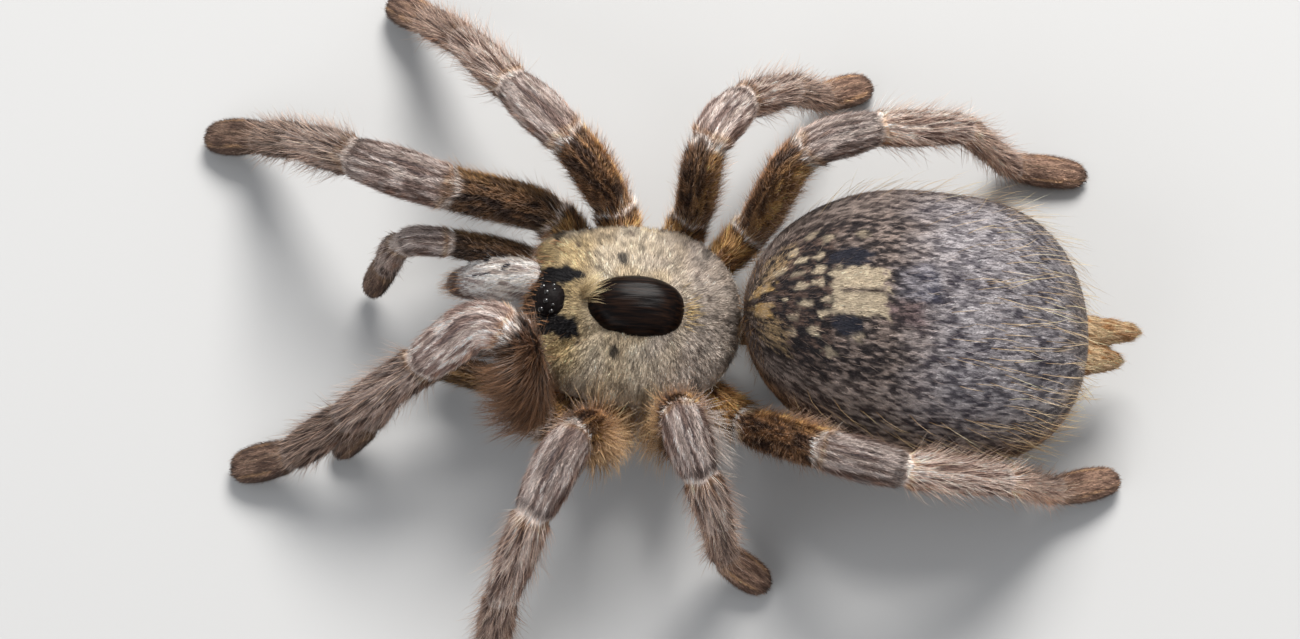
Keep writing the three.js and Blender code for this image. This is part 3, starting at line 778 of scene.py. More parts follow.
def paint_abdomen(spots):
    around, y = spots.across, spots.p[:, 1]
    off_middle = around - ABDOMEN_MIDDLE
    flat = xyz(around, y, 0)
    ragged = noise(flat, 0.4, 1) - 0.5
    wide = noise(flat, 1.7, 5) - 0.5
    light = ramp(noise(flat * (4.2, 1.3, 1), 0.8, 2), 0.36, 0.68)
    mottle = ramp(noise(flat * (1.2, 0.8, 1), 0.42, 6) + 0.3 * light, 0.45, 0.85)
    patches = ramp(noise(flat, 3.2, 4), 0.3, 0.7)
    # Dark hair with light streaks and mottles, greyer and bluer toward the rear.
    rear = ramp(y + 3 * wide, 22, 30)
    ground = mix(srgb(52, 40, 40), srgb(70, 64, 74), rear)
    streak = mix(srgb(182, 164, 154), srgb(202, 194, 196), rear)
    tone = 0.5 * light + 0.34 * mottle + (0.06 + 0.12 * rear) * patches
    shoulder = (1 - ramp(y + 3 * wide, 13, 23)) * (0.4 + 0.6 * (1 - light * mottle))
    bluish = blot(around + 2 * wide, y + 2 * wide, -2.4, 1.4, 23.2, 27.5, 0.8)
    purple = blot(around + 2 * wide, y + 2 * wide, 1.2, 4.4, 23.0, 26.4, 0.8)
    base = painted(
        mix(ground, streak, tone), tone,
        (0.75 * shoulder, (54, 42, 36)),
        (0.8 * bluish, (62, 62, 80), (180, 176, 184)),
        (0.85 * purple, (46, 32, 38), (140, 116, 116)),
    )
    # The black front with its cream spots.
    front = ramp(y + 1.2 * ragged, 12.0, 13.0) * (1 - ramp(y + 1.6 * ragged, 17.6, 19.2))
    front *= 1 - ramp(np.abs(off_middle) + 2.4 * wide, 7.0, 11)
    dark = mix(srgb(26, 20, 23), srgb(98, 76, 66), light * mottle)
    base = mix(base, dark, 0.94 * front)
    fringe = blot(y + 3 * wide, np.abs(off_middle) + 3 * wide, 11.0, 24.5, -1, 10.0, 1.2)
    base = mix(base, dark * 1.3, 0.8 * fringe * (1 - 0.8 * light * mottle))
    for x, place, radius, strength in ABDOMEN_SPOTS:
        near = np.hypot(around - x, y - place) + 0.9 * ragged
        base = mix(base, CREAM * 0.95, 0.9 * strength * ramp(near, radius + 0.1, 0.5 * radius))
    # The cream patch that a thin dark line splits, and the black patches beside it.
    edge = 1.4 * ragged
    patch = blot(around + edge, y + edge, -2.3, 3.6, 18.0, 23.0, 0.25)
    line = bump(around + 0.3 * ragged, ABDOMEN_MIDDLE, 0.42)
    line = line * ramp(y, 18.4, 19.2) * (1 - ramp(y, 22.4, 23.2))
    base = mix(base, CREAM * (0.85 + 0.25 * light)[:, None], patch * (1 - line))
    base = mix(base, DARK, 0.8 * line)
    for x, place, width, length in ((-3.7, 19.6, 1.4, 2.2), (4.8, 19.4, 1.3, 1.5)):
        near = ragged_oval(around - x, y - place, width, length, 0.6 * ragged)
        base = mix(base, BLUE_BLACK * 0.8, 0.95 * ramp(near, 1.1, 0.75))
    # Gold and fawn behind the dark bristly front edge.
    for left, right in ((-2.8, -0.5), (1.8, 5.0)):
        gold = blot(around + edge, y + edge, left, right, 11.0, 12.7, 0.3)
        base = mix(base, mix(GOLD, CREAM, 0.5 * light), 0.9 * gold)
    aside = np.abs(off_middle)
    fawn = blot(aside + edge, y - 0.12 * aside + edge, 4.2, 9.5, 10.8, 13.2, 0.6)
    bristles = 1 - ramp(y + 0.9 * ragged, 10.2, 11.2)
    # Grey-cream streaks down the flanks over a darker purple-brown, which on the lower flanks is partly
    # painted shade; golden brown underneath and at the rear edge.
    flank = ramp(np.abs(spots.turn), 0.85, 1.35)
    low = ramp(np.abs(spots.turn), 1.2, 1.65)
    tail = ramp(y + 2.4 * wide, 38.5, 42)
    return painted(
        base, light,
        (0.75 * fawn * light, (182, 154, 114)),
        (0.9 * bristles, (62, 44, 30)),
        (0.7 * flank, (58, 46, 46), (176, 160, 150)),
        (0.85 * low, (86, 60, 42), (188, 142, 98)),
        (0.7 * tail, (104, 86, 74), (186, 162, 138)),
    )


def paint_carapace(spots):
    q = spots.q
    x, y = q[:, 0], q[:, 1]
    across = np.abs(x)
    light = ramp(noise(xyz(spots.turn * 9, spots.along * 0.6, 0), 0.36, 1), 0.25, 0.6)
    blotch = noise(q, 1.8, 2)
    ragged = noise(q, 0.4, 3) - 0.5
    base = mix(srgb(196, 176, 148), srgb(210, 194, 172), ramp(blotch, 0.35, 0.7))
    base = mix(base, srgb(190, 175, 165), 0.8 * ramp(y + 4 * (blotch - 0.5), 0.5, 5.5))
    base = mix(base, CREAM, 0.5 * bump(np.hypot(x / 1.35, y - 0.2), 4.6, 1.3))
    golden = ramp(-y, 3.0, 6) * (1 - ramp(across, 5.5, 8))
    base = mix(base, srgb(214, 184, 128), 0.7 * golden)
    rim = ramp(-spots.n[:, 2], -0.5, -0.15)
    base = mix(base, PALE, 0.6 * rim)
    # Darker between the pale radial streaks of hair, partly the hair's own pattern and partly painted shade
    # between the clumps; lighter toward the animal's left (+X).
    base = mix(base * 0.4, base, 0.25 + 0.75 * light) * (1 + 0.16 * ramp(x, -4, 7))[:, None]
    # Dark comma-like gaps between the locks: painted shade where the locks part.
    lock_gap_shade = ramp(speckle(q * (1, 1.3, 0.2), 1.9, 4) + 0.4 * ragged, 0.24, 0.08)
    base = mix(base, srgb(84, 70, 62), 0.7 * lock_gap_shade * ramp(spots.along, 4.2, 5.2))
    # Black round the eyes, the marks beside and behind them, and the dark front edge.
    marks = [ramp(ragged_oval(x, y + 8.7, 2.8, 2.0, 0.35 * ragged), 1.1, 0.9)]
    for place, row, width, length, strength in CARAPACE_MARKS:
        near = ragged_oval(x - place, y - row, width, length, 0.6 * ragged)
        marks.append(strength * ramp(near, 1.1, 0.8))
    marks.append(0.9 * ramp(-y + 0.5 * ragged, 8.6, 9.1) * (1 - ramp(across + 0.8 * ragged, 3.6, 4.3)))
    for mark in marks:
        base = mix(base, BLACK * 0.8, mark)
    line = bump(x, 0, 0.35) * ramp(y, 4.8, 5.6)
    return mix(base, srgb(96, 86, 80), 0.5 * line)


def paint_limb(spots):
    colours = np.zeros_like(spots.p)
    for _, limb, mine in on_limbs(spots):
        colours[mine] = paint_one_limb(limb, take(spots, mine))
    return colours


def paint_one_limb(limb, spots):
    s, turn = spots.s, spots.turn
    round_top = np.abs(turn)
    i, t = segment_at(limb, s)
    tone = np.array([LIMB_COLOURS[name] for name in limb.segments])
    light = ramp(noise(xyz(spots.across, s * 0.2, 3.0 * limb.total), 0.3, 1), 0.34, 0.66)
    blotch = noise(spots.p, 1.5, 2)
    grain = noise(spots.p, 0.5, 3)
    # Golden brown on the rear side of the femur, black-brown at its ends.
    rear_side = ramp(-np.sin(turn), -0.1, 0.75) * (i == FEMUR)
    golden = (0.85 * rear_side * ramp(t, 0.0, 0.3), (120, 84, 50), (214, 168, 108))
    base = painted(mix(tone[i, 0], tone[i, 1], light), light, golden)
    if limb.combed:
        base = painted(base, light, (0.9 * (i == FEMUR), (46, 31, 23), (112, 74, 50)))
    ends = (i == FEMUR) * (1 - ramp(t, 0.0, 0.2)) + (i == COXA) * ramp(t, 0.85, 1.0)
    # Rust on the sides of the outer segments and dark brown beneath.
    side = bump(round_top, 1.5, 0.75) * ((i >= PATELLA) & (i < len(limb.lengths) - 1))
    under = ramp(round_top, 1.9, 2.6)
    # The metatarsus is dark and purplish along its top.
    top = (1 - ramp(round_top, 0.35, 0.9)) * (i == METATARSUS) * (not limb.palp)
    # Bald stripes along the top of the patella and the start of the tibia.
    on_patella = i == PATELLA
    reach = np.where(i == TIBIA, 0.7 * (1 - ramp(t, 0.3, 0.7)), on_patella * bump(t, 0.5, 0.75))
    stripe = (bump(turn, 0.4, 0.2) + bump(turn, -0.4, 0.2)) * reach
    bald = (bump(turn, 0.17, 0.1) + bump(turn, -0.17, 0.1)) * on_patella * bump(t, 0.5, 0.5)
    # Dark pads with a golden edge on the feet.
    foot = limb.ends[-2]
    pad_start = ramp(s, foot - PAD_RUN, foot + 0.3)
    groove = bump(turn, 0, 0.16) * blot(s, s, foot + 0.6, limb.total - 1.6, -1, 99)
    base = painted(
        base, light,
        (0.5 * ends, (46, 32, 26)),
        (0.2 * ramp(blotch, 0.5, 0.9) * (i == FEMUR), (52, 36, 28)),
        (0.65 * side * ramp(grain, 0.25, 0.7), (104, 62, 38), (172, 112, 72)),
        (0.6 * under, (84, 62, 50)),
        (0.4 * top, (74, 56, 54), (160, 136, 126)),
        (np.clip(0.7 * stripe, 0, 1), (206, 188, 178)),
        (np.clip(0.7 * bald, 0, 1), (52, 48, 58)),
        (0.5 * bump(round_top, 1.0, 0.22) * pad_start * light, (188, 146, 100)),
        (0.8 * ramp(round_top, 1.15, 1.55) * pad_start, (74, 55, 45)),
        (0.4 * groove, (168, 140, 116)),
        (0.6 * ramp(s, limb.total - TOE_PAD, limb.total - 0.2), (58, 42, 35)),
    )
    # Thin pale rings at the joints, dark before them and gold beyond them.
    for joint, strength in zip(limb.ends[1:-1], (1.1, 0.8, 0.7, 0.35, 0.2)):
        strength = strength * (1 - 0.6 * ramp(round_top, 1.4, 2.2))
        jagged = s + 0.9 * (noise(spots.p, 0.9, 8) - 0.5)
        gold = np.clip(bump(jagged, joint + 0.55, 0.45) * strength, 0, 1)
        pale = np.clip(1.5 * bump(jagged, joint + 0.05, 0.34) * strength, 0, 1)
        base = painted(
            base, light,
            (0.7 * gold, (170, 128, 90), (224, 190, 150)),
            (pale, (248, 228, 216)),
            (0.7 * bump(jagged, joint - 0.5, 0.34) * strength, (52, 40, 36)),
        )
    # The combed leg's patella is painted 1.7 times brighter: painted light that lifts the shade falling on
    # it.
    if limb.combed:
        base = np.where(on_patella[:, None], 1.7 * base, base)
    return base * (limb.tone[i] * (0.88 + 0.24 * grain))[:, None]


def paint_jaw(spots):
    q = spots.q
    streaks = noise(xyz(spots.across, q[:, 1] * 0.3, 0), 0.3, 1)
    light = ramp(streaks - 0.12 * ramp(-q[:, 1], 14.5, 18), 0.26, 0.66)
    # The jaws' colour is raised 1.3 times beyond their own: painted light, as they face away from the key
    # lamp.
    base = 1.3 * mix(srgb(150, 136, 132), srgb(252, 244, 238), light)
    base = mix(base, CREAM, 0.2 * bump(q[:, 1], -13.1, 2.2) * ramp(q[:, 2], 8, 10))
    inner = np.abs(q[:, 0])
    rough = noise(q, 0.4, 5) - 0.5
    for x, y, width, length in ((3.2, -12.2, 0.4, 0.5), (2.6, -14.6, 0.12, 1.1), (4.2, -14.0, 0.4, 0.3)):
        near = ragged_oval(inner - x, q[:, 1] - y, width, length, rough)
        base = mix(base, BLUE_BLACK, ramp(near, 1.1, 0.7) * ramp(q[:, 2], 7, 9))
    under = ramp(np.abs(spots.turn), 1.3, 2.2)
    return mix(base, srgb(84, 54, 38), 0.8 * under)


def paint_rest(spots):
    grain = noise(spots.p, 0.9, 7)
    light = ramp(noise(xyz(spots.across, spots.along * 0.35, 0), 0.36, 1), 0.35, 0.65)
    under = mix(srgb(56, 42, 34), srgb(92, 72, 58), grain)
    spinning = mix(srgb(172, 124, 78), srgb(232, 196, 152), light)
    return np.where((spots.part == SPINNERET_PART)[:, None], spinning, under)


def paint(spots):
    """The colour of the coat at each place, the same for skin and hair."""
    colours = paint_rest(spots)
    for part, painter in (
        (ABDOMEN_PART, paint_abdomen),
        (CARAPACE_PART, paint_carapace),
        (LIMB_PART, paint_limb),
        (JAW_PART, paint_jaw),
    ):
        mine = np.flatnonzero(spots.part == part)
        if len(mine):
            colours[mine] = painter(take(spots, mine))
    return colours


def take(spots, index):
    """The chosen ones of a set of spots or looks."""
    return SimpleNamespace(**{name: values[index] for name, values in vars(spots).items()})


# ---- Materials ---------------------------------------------------------------------------------


def new_material(name, roughness, specular=0.5, **inputs):
    material = bpy.data.materials.new(name)
    material.use_nodes = True
    shader = material.node_tree.nodes["Principled BSDF"]
    shader.inputs["Roughness"].default_value = roughness
    shader.inputs["Specular IOR Level"].default_value = specular
    for socket, value in inputs.items():
        shader.inputs[socket.replace("_", " ")].default_value = value
    return material, material.node_tree, shader


def add_node(tree, kind, **inputs):
    """A shader node. Each input is given a value, or linked where it is another node's output."""
    node = tree.nodes.new("ShaderNode" + kind)
    for name, value in inputs.items():
        socket = node.inputs[name.replace("_", " ")]
        if isinstance(value, bpy.types.NodeSocket):
            tree.links.new(value, socket)
        else:
            socket.default_value = value
    return node


def attribute(tree, name):
    node = add_node(tree, "Attribute")
    node.attribute_name = name
    return node


def noise_node(tree, scale, detail=2.0, vector=None, stretch=None):
    if vector is None:
        vector = add_node(tree, "TexCoord").outputs["Object"]
    if stretch:
        vector = add_node(tree, "Mapping", Vector=vector, Scale=stretch).outputs["Vector"]
    return add_node(tree, "TexNoise", Vector=vector, Scale=scale, Detail=detail).outputs["Fac"]


def brighten(tree, colour, factor, low, high):
    """colour times a value from low to high as factor goes from 0.3 to 0.7."""
    reach = add_node(tree, "MapRange", Value=factor, From_Min=0.3, From_Max=0.7, To_Min=low, To_Max=high)
    product = add_node(tree, "VectorMath")
    product.operation = "SCALE"
    tree.links.new(colour, product.inputs[0])
    tree.links.new(reach.outputs["Result"], product.inputs["Scale"])
    return product.outputs["Vector"]


def colour_between(tree, factor, *stops):
    """A colour that runs from the first stop to the second; a stop is a factor and its colour."""
    node = add_node(tree, "ValToRGB", Fac=factor)
    for element, (position, colour) in zip(node.color_ramp.elements, stops):
        element.position = position
        element.color = (*colour, 1)
    return node.outputs["Color"]


def add_bump(tree, shader, height, distance, strength=1.0):
    node = add_node(tree, "Bump", Height=height, Distance=distance, Strength=strength)
    tree.links.new(node.outputs["Normal"], shader.inputs["Normal"])


def skin_material(name):
    """Short flat fur as fine streaks of colour and bump that run along the lie of the coat."""
    material, tree, shader = new_material(name, 0.75, 0.25)
    flow = attribute(tree, "flow").outputs["Vector"]
    streaks = noise_node(tree, 1.0, 3.0, flow, (9.0, 1.3, 1.0))
    colour = brighten(tree, attribute(tree, "coat").outputs["Color"], streaks, 0.5, 1.2)
    tree.links.new(colour, shader.inputs["Base Color"])
    add_bump(tree, shader, streaks, 0.00012)
    return material


def coat_material(name, roughness=0.5, specular=0.35):
    material, tree, shader = new_material(name, roughness, specular)
    grain = noise_node(tree, 5200, 1.0)
    colour = brighten(tree, attribute(tree, "coat").outputs["Color"], grain, 0.86, 1.14)
    tree.links.new(colour, shader.inputs["Base Color"])
    return material


def horn_material():
    material, tree, shader = new_material("horn_gloss", 0.3, 0.07)
    streaks = noise_node(tree, 1100, 4.0, None, (5.0, 0.3, 2.0))
    colour = colour_between(tree, streaks, (0.42, (0.003, 0.002, 0.002)), (0.78, (0.02, 0.009, 0.005)))
    tree.links.new(colour, shader.inputs["Base Color"])
    add_bump(tree, shader, streaks, 0.00005, 0.6)
    return material


def plain_gloss(name, colour, roughness, scale, depth, coat=0.5):
    """A hard surface with a fine grain, under clear gloss unless coat is 0."""
    gloss = 0.5 if coat else 0.06
    material, tree, shader = new_material(name, roughness, gloss, Coat_Weight=coat, Coat_Roughness=0.05)
    grain = noise_node(tree, scale, 3.0)
    colour = np.array(colour)
    shade = colour_between(tree, grain, (0.3, colour * 0.6), (0.7, colour * 1.5))
    tree.links.new(shade, shader.inputs["Base Color"])
    add_bump(tree, shader, grain, depth)
    return material


# ---- Coat --------------------------------------------------------------------------------------

PATCH = 0.003  # of a tuft on the bake map
ATLAS_SIZE = 128.0  # millimetres of skin across that map
# Each part's corner on that map, how tall it is there, and the y where it starts.
ATLAS_ROOMS = {
    ABDOMEN_PART: ((58, 1), 75, 0.0),  # its distances count from the abdomen's own front
    CARAPACE_PART: ((93, 1), 20, -10.2),
    TRUNK_PART: ((93, 43), 34, -9.0),
    PEDICEL_PART: ((116, 1), 9, 6.5),
    JAW_PART: ((93, 79), 17, -18.5),
    SPINNERET_PART: ((116, 12), 12, 38.0),
}


def atlas_places(spots):
    """Each root's place on an unwrap of the skin: u along its part, v round it."""
    corner = np.zeros((len(spots.p), 2))
    height = np.zeros(len(spots.p))
    along = spots.s.copy()
    for index, limb, mine in on_limbs(spots):
        right = index > 4
        corner[mine] = (58, 78 + 12 * right) if limb.palp else (1, 1 + (index - 1 - right) * 14.5)
        height[mine] = 10.5 if limb.palp else 13.5
    for part, (place, tall, start) in ATLAS_ROOMS.items():
        mine = spots.part == part
        corner[mine] = place
        corner[mine, 1] += (tall + 1) * np.clip(spots.limb[mine], 0, 1)
        height[mine] = tall
        along[mine] -= start
    around = (spots.turn / (2 * np.pi) + 0.5) * height
    around = np.where(spots.part == CARAPACE_PART, spots.q[:, 0] + 10, around)
    return (corner + np.stack([along, around], -1)) / ATLAS_SIZE


def scatter(skin, density, count):
    """Roots spread over the skin's triangles, each triangle weighted by its area and density."""
    a, b, c = skin.p[skin.triangles].swapaxes(0, 1)
    area = np.linalg.norm(np.cross(b - a, c - a), axis=1)
    weight = area * density[skin.triangles].mean(1)
    total = np.cumsum(weight)
    # Evenly spaced draws with a random offset leave fewer gaps and heaps than free ones.
    draws = (np.arange(count) + rng.random(count)) / count * total[-1]
    chosen = np.clip(np.searchsorted(total, draws), 0, len(area) - 1)
    u, v = rng.random((2, count))
    flip = u + v > 1
    u[flip], v[flip] = 1 - u[flip], 1 - v[flip]
    shares = xyz(1 - u - v, u, v)
    corner = skin.triangles[chosen]
    p = (skin.p[corner] * shares[..., None]).sum(1)
    n = unit((skin.n[corner] * shares[..., None]).sum(1))
    main = corner[np.arange(count), shares.argmax(1)]
    return locate(p, n, skin.part[main], skin.limb[main], skin.s[main])


def strand_pattern(rings):
    """Triangles of one closed three-sided strand, and where each corner lies on its bake patch."""
    triangles = [(0, 2, 1)]
    places = [(-0.15, 0.3), (-0.15, 0.7), (0.0, 0.5)]
    tip = 3 * rings
    for side in range(3):
        left, right = side, (side + 1) % 3
        low, high = side / 3, (side + 1) / 3
        for ring in range(rings):
            a, b = 3 * ring + left, 3 * ring + right
            u0, u1 = ring / rings, (ring + 1) / rings
            if ring == rings - 1:
                triangles.append((a, b, tip))
                places += [(u0, low), (u0, high), (u1, (low + high) / 2)]
            else:
                triangles += [(a, b, b + 3), (a, b + 3, a + 3)]
                places += [(u0, low), (u0, high), (u1, high)]
                places += [(u0, low), (u1, high), (u1, low)]
    return np.array(triangles), np.array(places) - (0.4, 0.5)


def add_strands(name, material, slot, spots, look, rings):
    """One piece of coat: a strand from each spot, with its own length, width, lift and colours."""
    count = len(spots.p)
    side = unit(np.cross(spots.n, spots.lie))
    centre = spots.p - spots.n * ROOT_DEPTH
    layers, shares = [], []
    angle = look.lift
    for ring in range(rings + 1):
        share = ring / rings
        heading = spots.lie * np.cos(angle)[:, None] + spots.n * np.sin(angle)[:, None]
        heading = unit(heading + side * (look.sway * share)[:, None])
        if ring < rings:
            out = unit(np.cross(heading, side))
            half = look.width / 2 * (1 - 0.55 * share)
            layers.append(centre - side * half[:, None])
            layers.append(centre + side * half[:, None])
            layers.append(centre - out * (half * 0.9)[:, None])
            shares += [share] * 3
            centre = centre + heading * (look.length / rings)[:, None]
            angle = angle - look.fall / rings
        else:
            layers.append(centre)
            shares.append(1.0)
    points = np.stack(layers, 1)
    keep_in_box(points, spots.p)
    pattern, places = strand_pattern(rings)
    per = points.shape[1]
    triangles = (pattern[None] + (np.arange(count) * per)[:, None, None]).reshape(-1, 3)
    mesh = triangle_mesh(name, points.reshape(-1, 3), triangles)
    shares = np.array(shares)[None, :, None]
    colours = look.root[:, None] * (1 - shares) + look.tip[:, None] * shares
    add_colours(mesh, "coat", colours.reshape(-1, 3))
    uv = atlas_places(spots)[:, None] + PATCH * places[None]
    layer = mesh.uv_layers.new(name="OFBake")
    layer.data.foreach_set("uv", uv.astype(np.float32).ravel())
    return add_object(name, mesh, material, slot)


BOX_LOW = np.array(CAD_BOX[0]) / MM - ORIGIN
BOX_HIGH = np.array(CAD_BOX[1]) / MM - ORIGIN
BOX_SPARE = (BOX_HIGH - BOX_LOW) * OUTSIDE


def keep_in_box(points, roots):
    """Draws strands that would leave the box toward their roots, and keeps them off the floor."""
    reach = points - roots[:, None]
    wall = np.where(reach > 0, BOX_HIGH + BOX_SPARE, BOX_LOW - BOX_SPARE)
    with np.errstate(divide="ignore", invalid="ignore"):
        room = (wall - roots[:, None]) / reach
    room[..., 2] = np.where(reach[..., 2] > 0, room[..., 2], 9)
    share = np.clip(np.nanmin(np.where(np.isfinite(room), room, 9), axis=(1, 2)), 0.1, 1)
    points[:] = roots[:, None] + reach * share[:, None, None]
    points[..., 2] = np.clip(points[..., 2], LOWEST_POINT, None)


def segment_table(spots, leg_values, palp_values, body_values):
    """A value for each spot: by segment on legs and palps, and by part in BODY_PARTS' order."""
    result = np.zeros(len(spots.p))
    for part, value in zip(BODY_PARTS, body_values):
        result[spots.part == part] = value
    for _, limb, mine in on_limbs(spots):
        values = np.array(palp_values if limb.palp else leg_values, float)
        result[mine] = values[segment_at(limb, spots.s[mine])[0]]
    return result


def foot_share(spots):
    """1 on the pads under and beside the feet, 0 elsewhere."""
    result = np.zeros(len(spots.p))
    for _, limb, mine in on_limbs(spots):
        s = spots.s[mine]
        foot = limb.ends[-2]
        pad = ramp(s, foot - PAD_RUN, foot) * ramp(np.abs(spots.turn[mine]), 0.9, 1.4)
        result[mine] = np.maximum(pad, 0.8 * ramp(s, limb.total - TOE_PAD, limb.total - 0.6))
    return result


def comb(spots, pull=0.9):
    """Draws hair toward the ridges of narrow lengthwise locks; 1 on a ridge and 0 between two."""
    limb = np.where(spots.part == LIMB_PART, spots.limb, 11 + spots.part)
    place = xyz(spots.across, spots.along * LOCK_STRETCH, 3.3 * limb)
    shift = np.array([0.3 * LOCK_WIDTH, 0, 0])
    before, ridge, after = (noise(place + step * shift, LOCK_WIDTH, 8) for step in (-1, 0, 1))
    spots.lie = unit(spots.lie + spots.aside * (pull * (after - before))[:, None])
    return ramp(ridge, 0.3, 0.7)


def clumped(spots, amount, spacing, layer=0):
    """Turns the lie of the coat sideways by smooth noise."""
    side = np.cross(spots.n, spots.lie)
    swing = (noise(spots.p, spacing, layer) - 0.5) * 2 * amount
    swing = swing + rng.normal(0, 0.35 * amount, len(swing))
    spots.lie = unit(spots.lie + side * swing[:, None])


def paint_ahead(spots, length):
    """The coat's colour half way along hairs of the given length."""
    middle = spots.p + spots.lie * (0.5 * length)[:, None]
    return paint(locate(middle, spots.n, spots.part, spots.limb, spots.s))


# Each is by leg segment, by palp segment, and for the abdomen, trunk, pedicel, jaws, spinnerets
# and carapace.
SHORT_DENSITY = ((0.8, 1.0, 1.0, 1.0, 1.05, 1.1), (0.9, 1.0, 1.0, 1.0, 1.2), (1.0, 0.6, 0.6, 1.2, 1.3))
SHORT_LENGTH = ((1.2, 1.25, 0.85, 0.95, 0.95, 0.6), (0.95, 1.0, 0.75, 0.7, 0.55),
                (0.62, 0.9, 0.7, 0.75, 0.8, 0.7))
SHORT_LIFT = ((30, 24, 14, 16, 18, 14), (30, 24, 16, 18, 16), (14, 18, 20, 14, 10, 14))
SHORT_WIDTH = ((0.09,) * 6, (0.08,) * 5, (0.074, 0.1, 0.1, 0.075, 0.08, 0.07))
GUARD_DENSITY = ((0.7, 1.0, 0.55, 1.0, 1.1, 0.25), (0.8, 0.9, 0.5, 0.8, 0.25), (0.1, 0.2, 0.3, 0.5, 1.0))
GUARD_LENGTH = ((2.0, 2.3, 1.6, 2.4, 2.4, 1.1), (1.6, 1.8, 1.2, 1.5, 0.8), (1.9, 1.2, 1.2, 1.2, 1.4))
GUARD_COUNT = 23000
PALE_TIP = srgb(214, 184, 162)
GUARD_LIFT = ((42, 36, 24, 34, 34, 24), (38, 34, 24, 30, 24), (22, 30, 30, 24, 16))


def short_look(spots):
    """Looks of the short coat, thin tufts that lie nearly flat and are short and steep on pads."""
    count = len(spots.p)
    length = segment_table(spots, *SHORT_LENGTH)
    lift = segment_table(spots, *SHORT_LIFT)
    width = segment_table(spots, *SHORT_WIDTH)
    pad = foot_share(spots)
    length = (length * (1 - pad) + 0.4 * pad) * rng.uniform(0.7, 1.2, count)
    lift = lift * (1 - pad) + 46 * pad
    # Hair between the locks' ridges is painted darker as shade, and each hair's tone also varies at random.
    ridge = comb(spots)
    shade = (0.72 + 0.5 * ridge) * np.exp(rng.normal(0, 0.25, count))
    colour = np.clip(paint_ahead(spots, length) * shade[:, None], 0, 1)
    return SimpleNamespace(
        length=length,
        width=width * (1 - 0.25 * pad) * rng.uniform(0.75, 1.3, count),
        lift=np.radians(lift + 4 * ridge + rng.normal(0, 4, count)),
        fall=np.radians(rng.normal(12, 6, count)),
        sway=rng.normal(0, 0.12, count),
        # Roots are darker than tips: partly the hair's own colour, partly painted shade near the skin.
        root=colour * 0.65,
        tip=np.clip(colour * 1.25, 0, 1),
    )


def hair_look(spots, length, lift, fall, width, root, tip, sway=0.25):
    """Looks of single hairs, each a little different from the next."""
    count = len(spots.p)
    shade = np.exp(rng.normal(0, 0.22, count))[:, None]
    return SimpleNamespace(
        length=length * rng.uniform(0.6, 1.15, count),
        width=width * rng.uniform(0.8, 1.2, count),
        lift=np.radians(lift + rng.normal(0, 9, count)),
        fall=np.radians(fall + rng.normal(0, 12, count)),
        sway=rng.normal(0, sway, count),
        root=np.clip(root * shade, 0, 1),
        tip=np.clip(tip * shade, 0, 1),
    )


# ---- Building ----------------------------------------------------------------------------------


def build_skin():
    forms = skin_sources()
    mesh = make_skin_mesh(forms)
    points, normals, triangles = mesh_arrays(mesh)
    skin = locate(points, normals, *nearest_source(points, forms))
    finish_skin(mesh, skin, "skin", skin_material("skin_fur"), "leg_coat")
    skin.triangles = triangles
    return skin


def finish_skin(mesh, skin, name, material, slot):
    mesh.vertices.foreach_set("co", to_frame(skin.p).ravel())
    mesh.name = name
    # The skin is painted a quarter darker than the coat's own colour: painted shade beneath the hair.
    add_colours(mesh, "coat", paint(skin) * 0.75)
    layer = mesh.attributes.new("flow", "FLOAT_VECTOR", "POINT")
    layer.data.foreach_set("vector", xyz(skin.across, skin.along, 0).astype(np.float32).ravel())
    mesh.update()
    return add_object(name, mesh, material, slot)


def build_carapace():
    vertices, faces = loft(carapace_rings(SKIN_DEPTH["carapace"]))
    mesh = bpy.data.meshes.new("carapace")
    mesh.from_pydata(vertices.tolist(), [], faces)
    mesh.validate()
    points, normals, triangles = mesh_arrays(mesh)
    count = len(points)
    plate = locate(points, normals, np.full(count, CARAPACE_PART), np.full(count, -1), np.zeros(count))
    piece = finish_skin(mesh, plate, "carapace_plate", skin_material("carapace_fur"), "carapace_coat")
    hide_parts("carapace")
    plate.triangles = triangles
    return plate


def dome_rings(shape, rings=36, sides=72):
    """A low dome that is slightly square and narrower in front, and stands on the carapace."""
    y = -np.cos(np.linspace(0.02, np.pi - 0.02, rings))[:, None]
    radius = np.sqrt(1 - y**2)
    across, up = ring_angles(sides)
    x, z = radius * across, radius * up
    squareness = 1 + 0.07 * np.sin(2 * np.arctan2(x, y)) ** 2
    narrow = 1 - shape["taper"] * np.clip(-y, 0, None)
    place = shape["y"] + y * squareness * shape["length"] / 2 + shape["lean"] * np.clip(z, 0, None)
    height = shape["base"] + np.clip(z, -0.35, None) * shape["height"]
    return swung(xyz(x * squareness * narrow * shape["width"] / 2, place, height), shape["turn"])


def build_horn():
    """The foveal horn: a smooth plug with faint lengthwise lines and a worn, flatter top."""
    rings = dome_rings(HORN, 90, 150)
    flat = (rings * (5.5, 0.5, 0.5)).reshape(-1, 3)
    lines = (noise(flat, 1.0, 2) - 0.5).reshape(rings.shape[:2])
    rings[..., 2] += 0.05 * lines * ramp(rings[..., 2], HORN["base"], HORN["base"] + 0.8)
    rings[..., 2] -= 0.12 * ramp(rings[..., 2], HORN["base"] + 1.4, HORN["base"] + 2.2)
    add_solid("foveal_horn_plug", rings, horn_material(), "horn", "foveal_horn")


def ball_rings(centre, radius):
    angle = np.linspace(0.05, np.pi - 0.05, 18)[:, None]
    across, up = ring_angles(28)
    return xyz(np.sin(angle) * across, -np.cos(angle), np.sin(angle) * up) * radius + centre


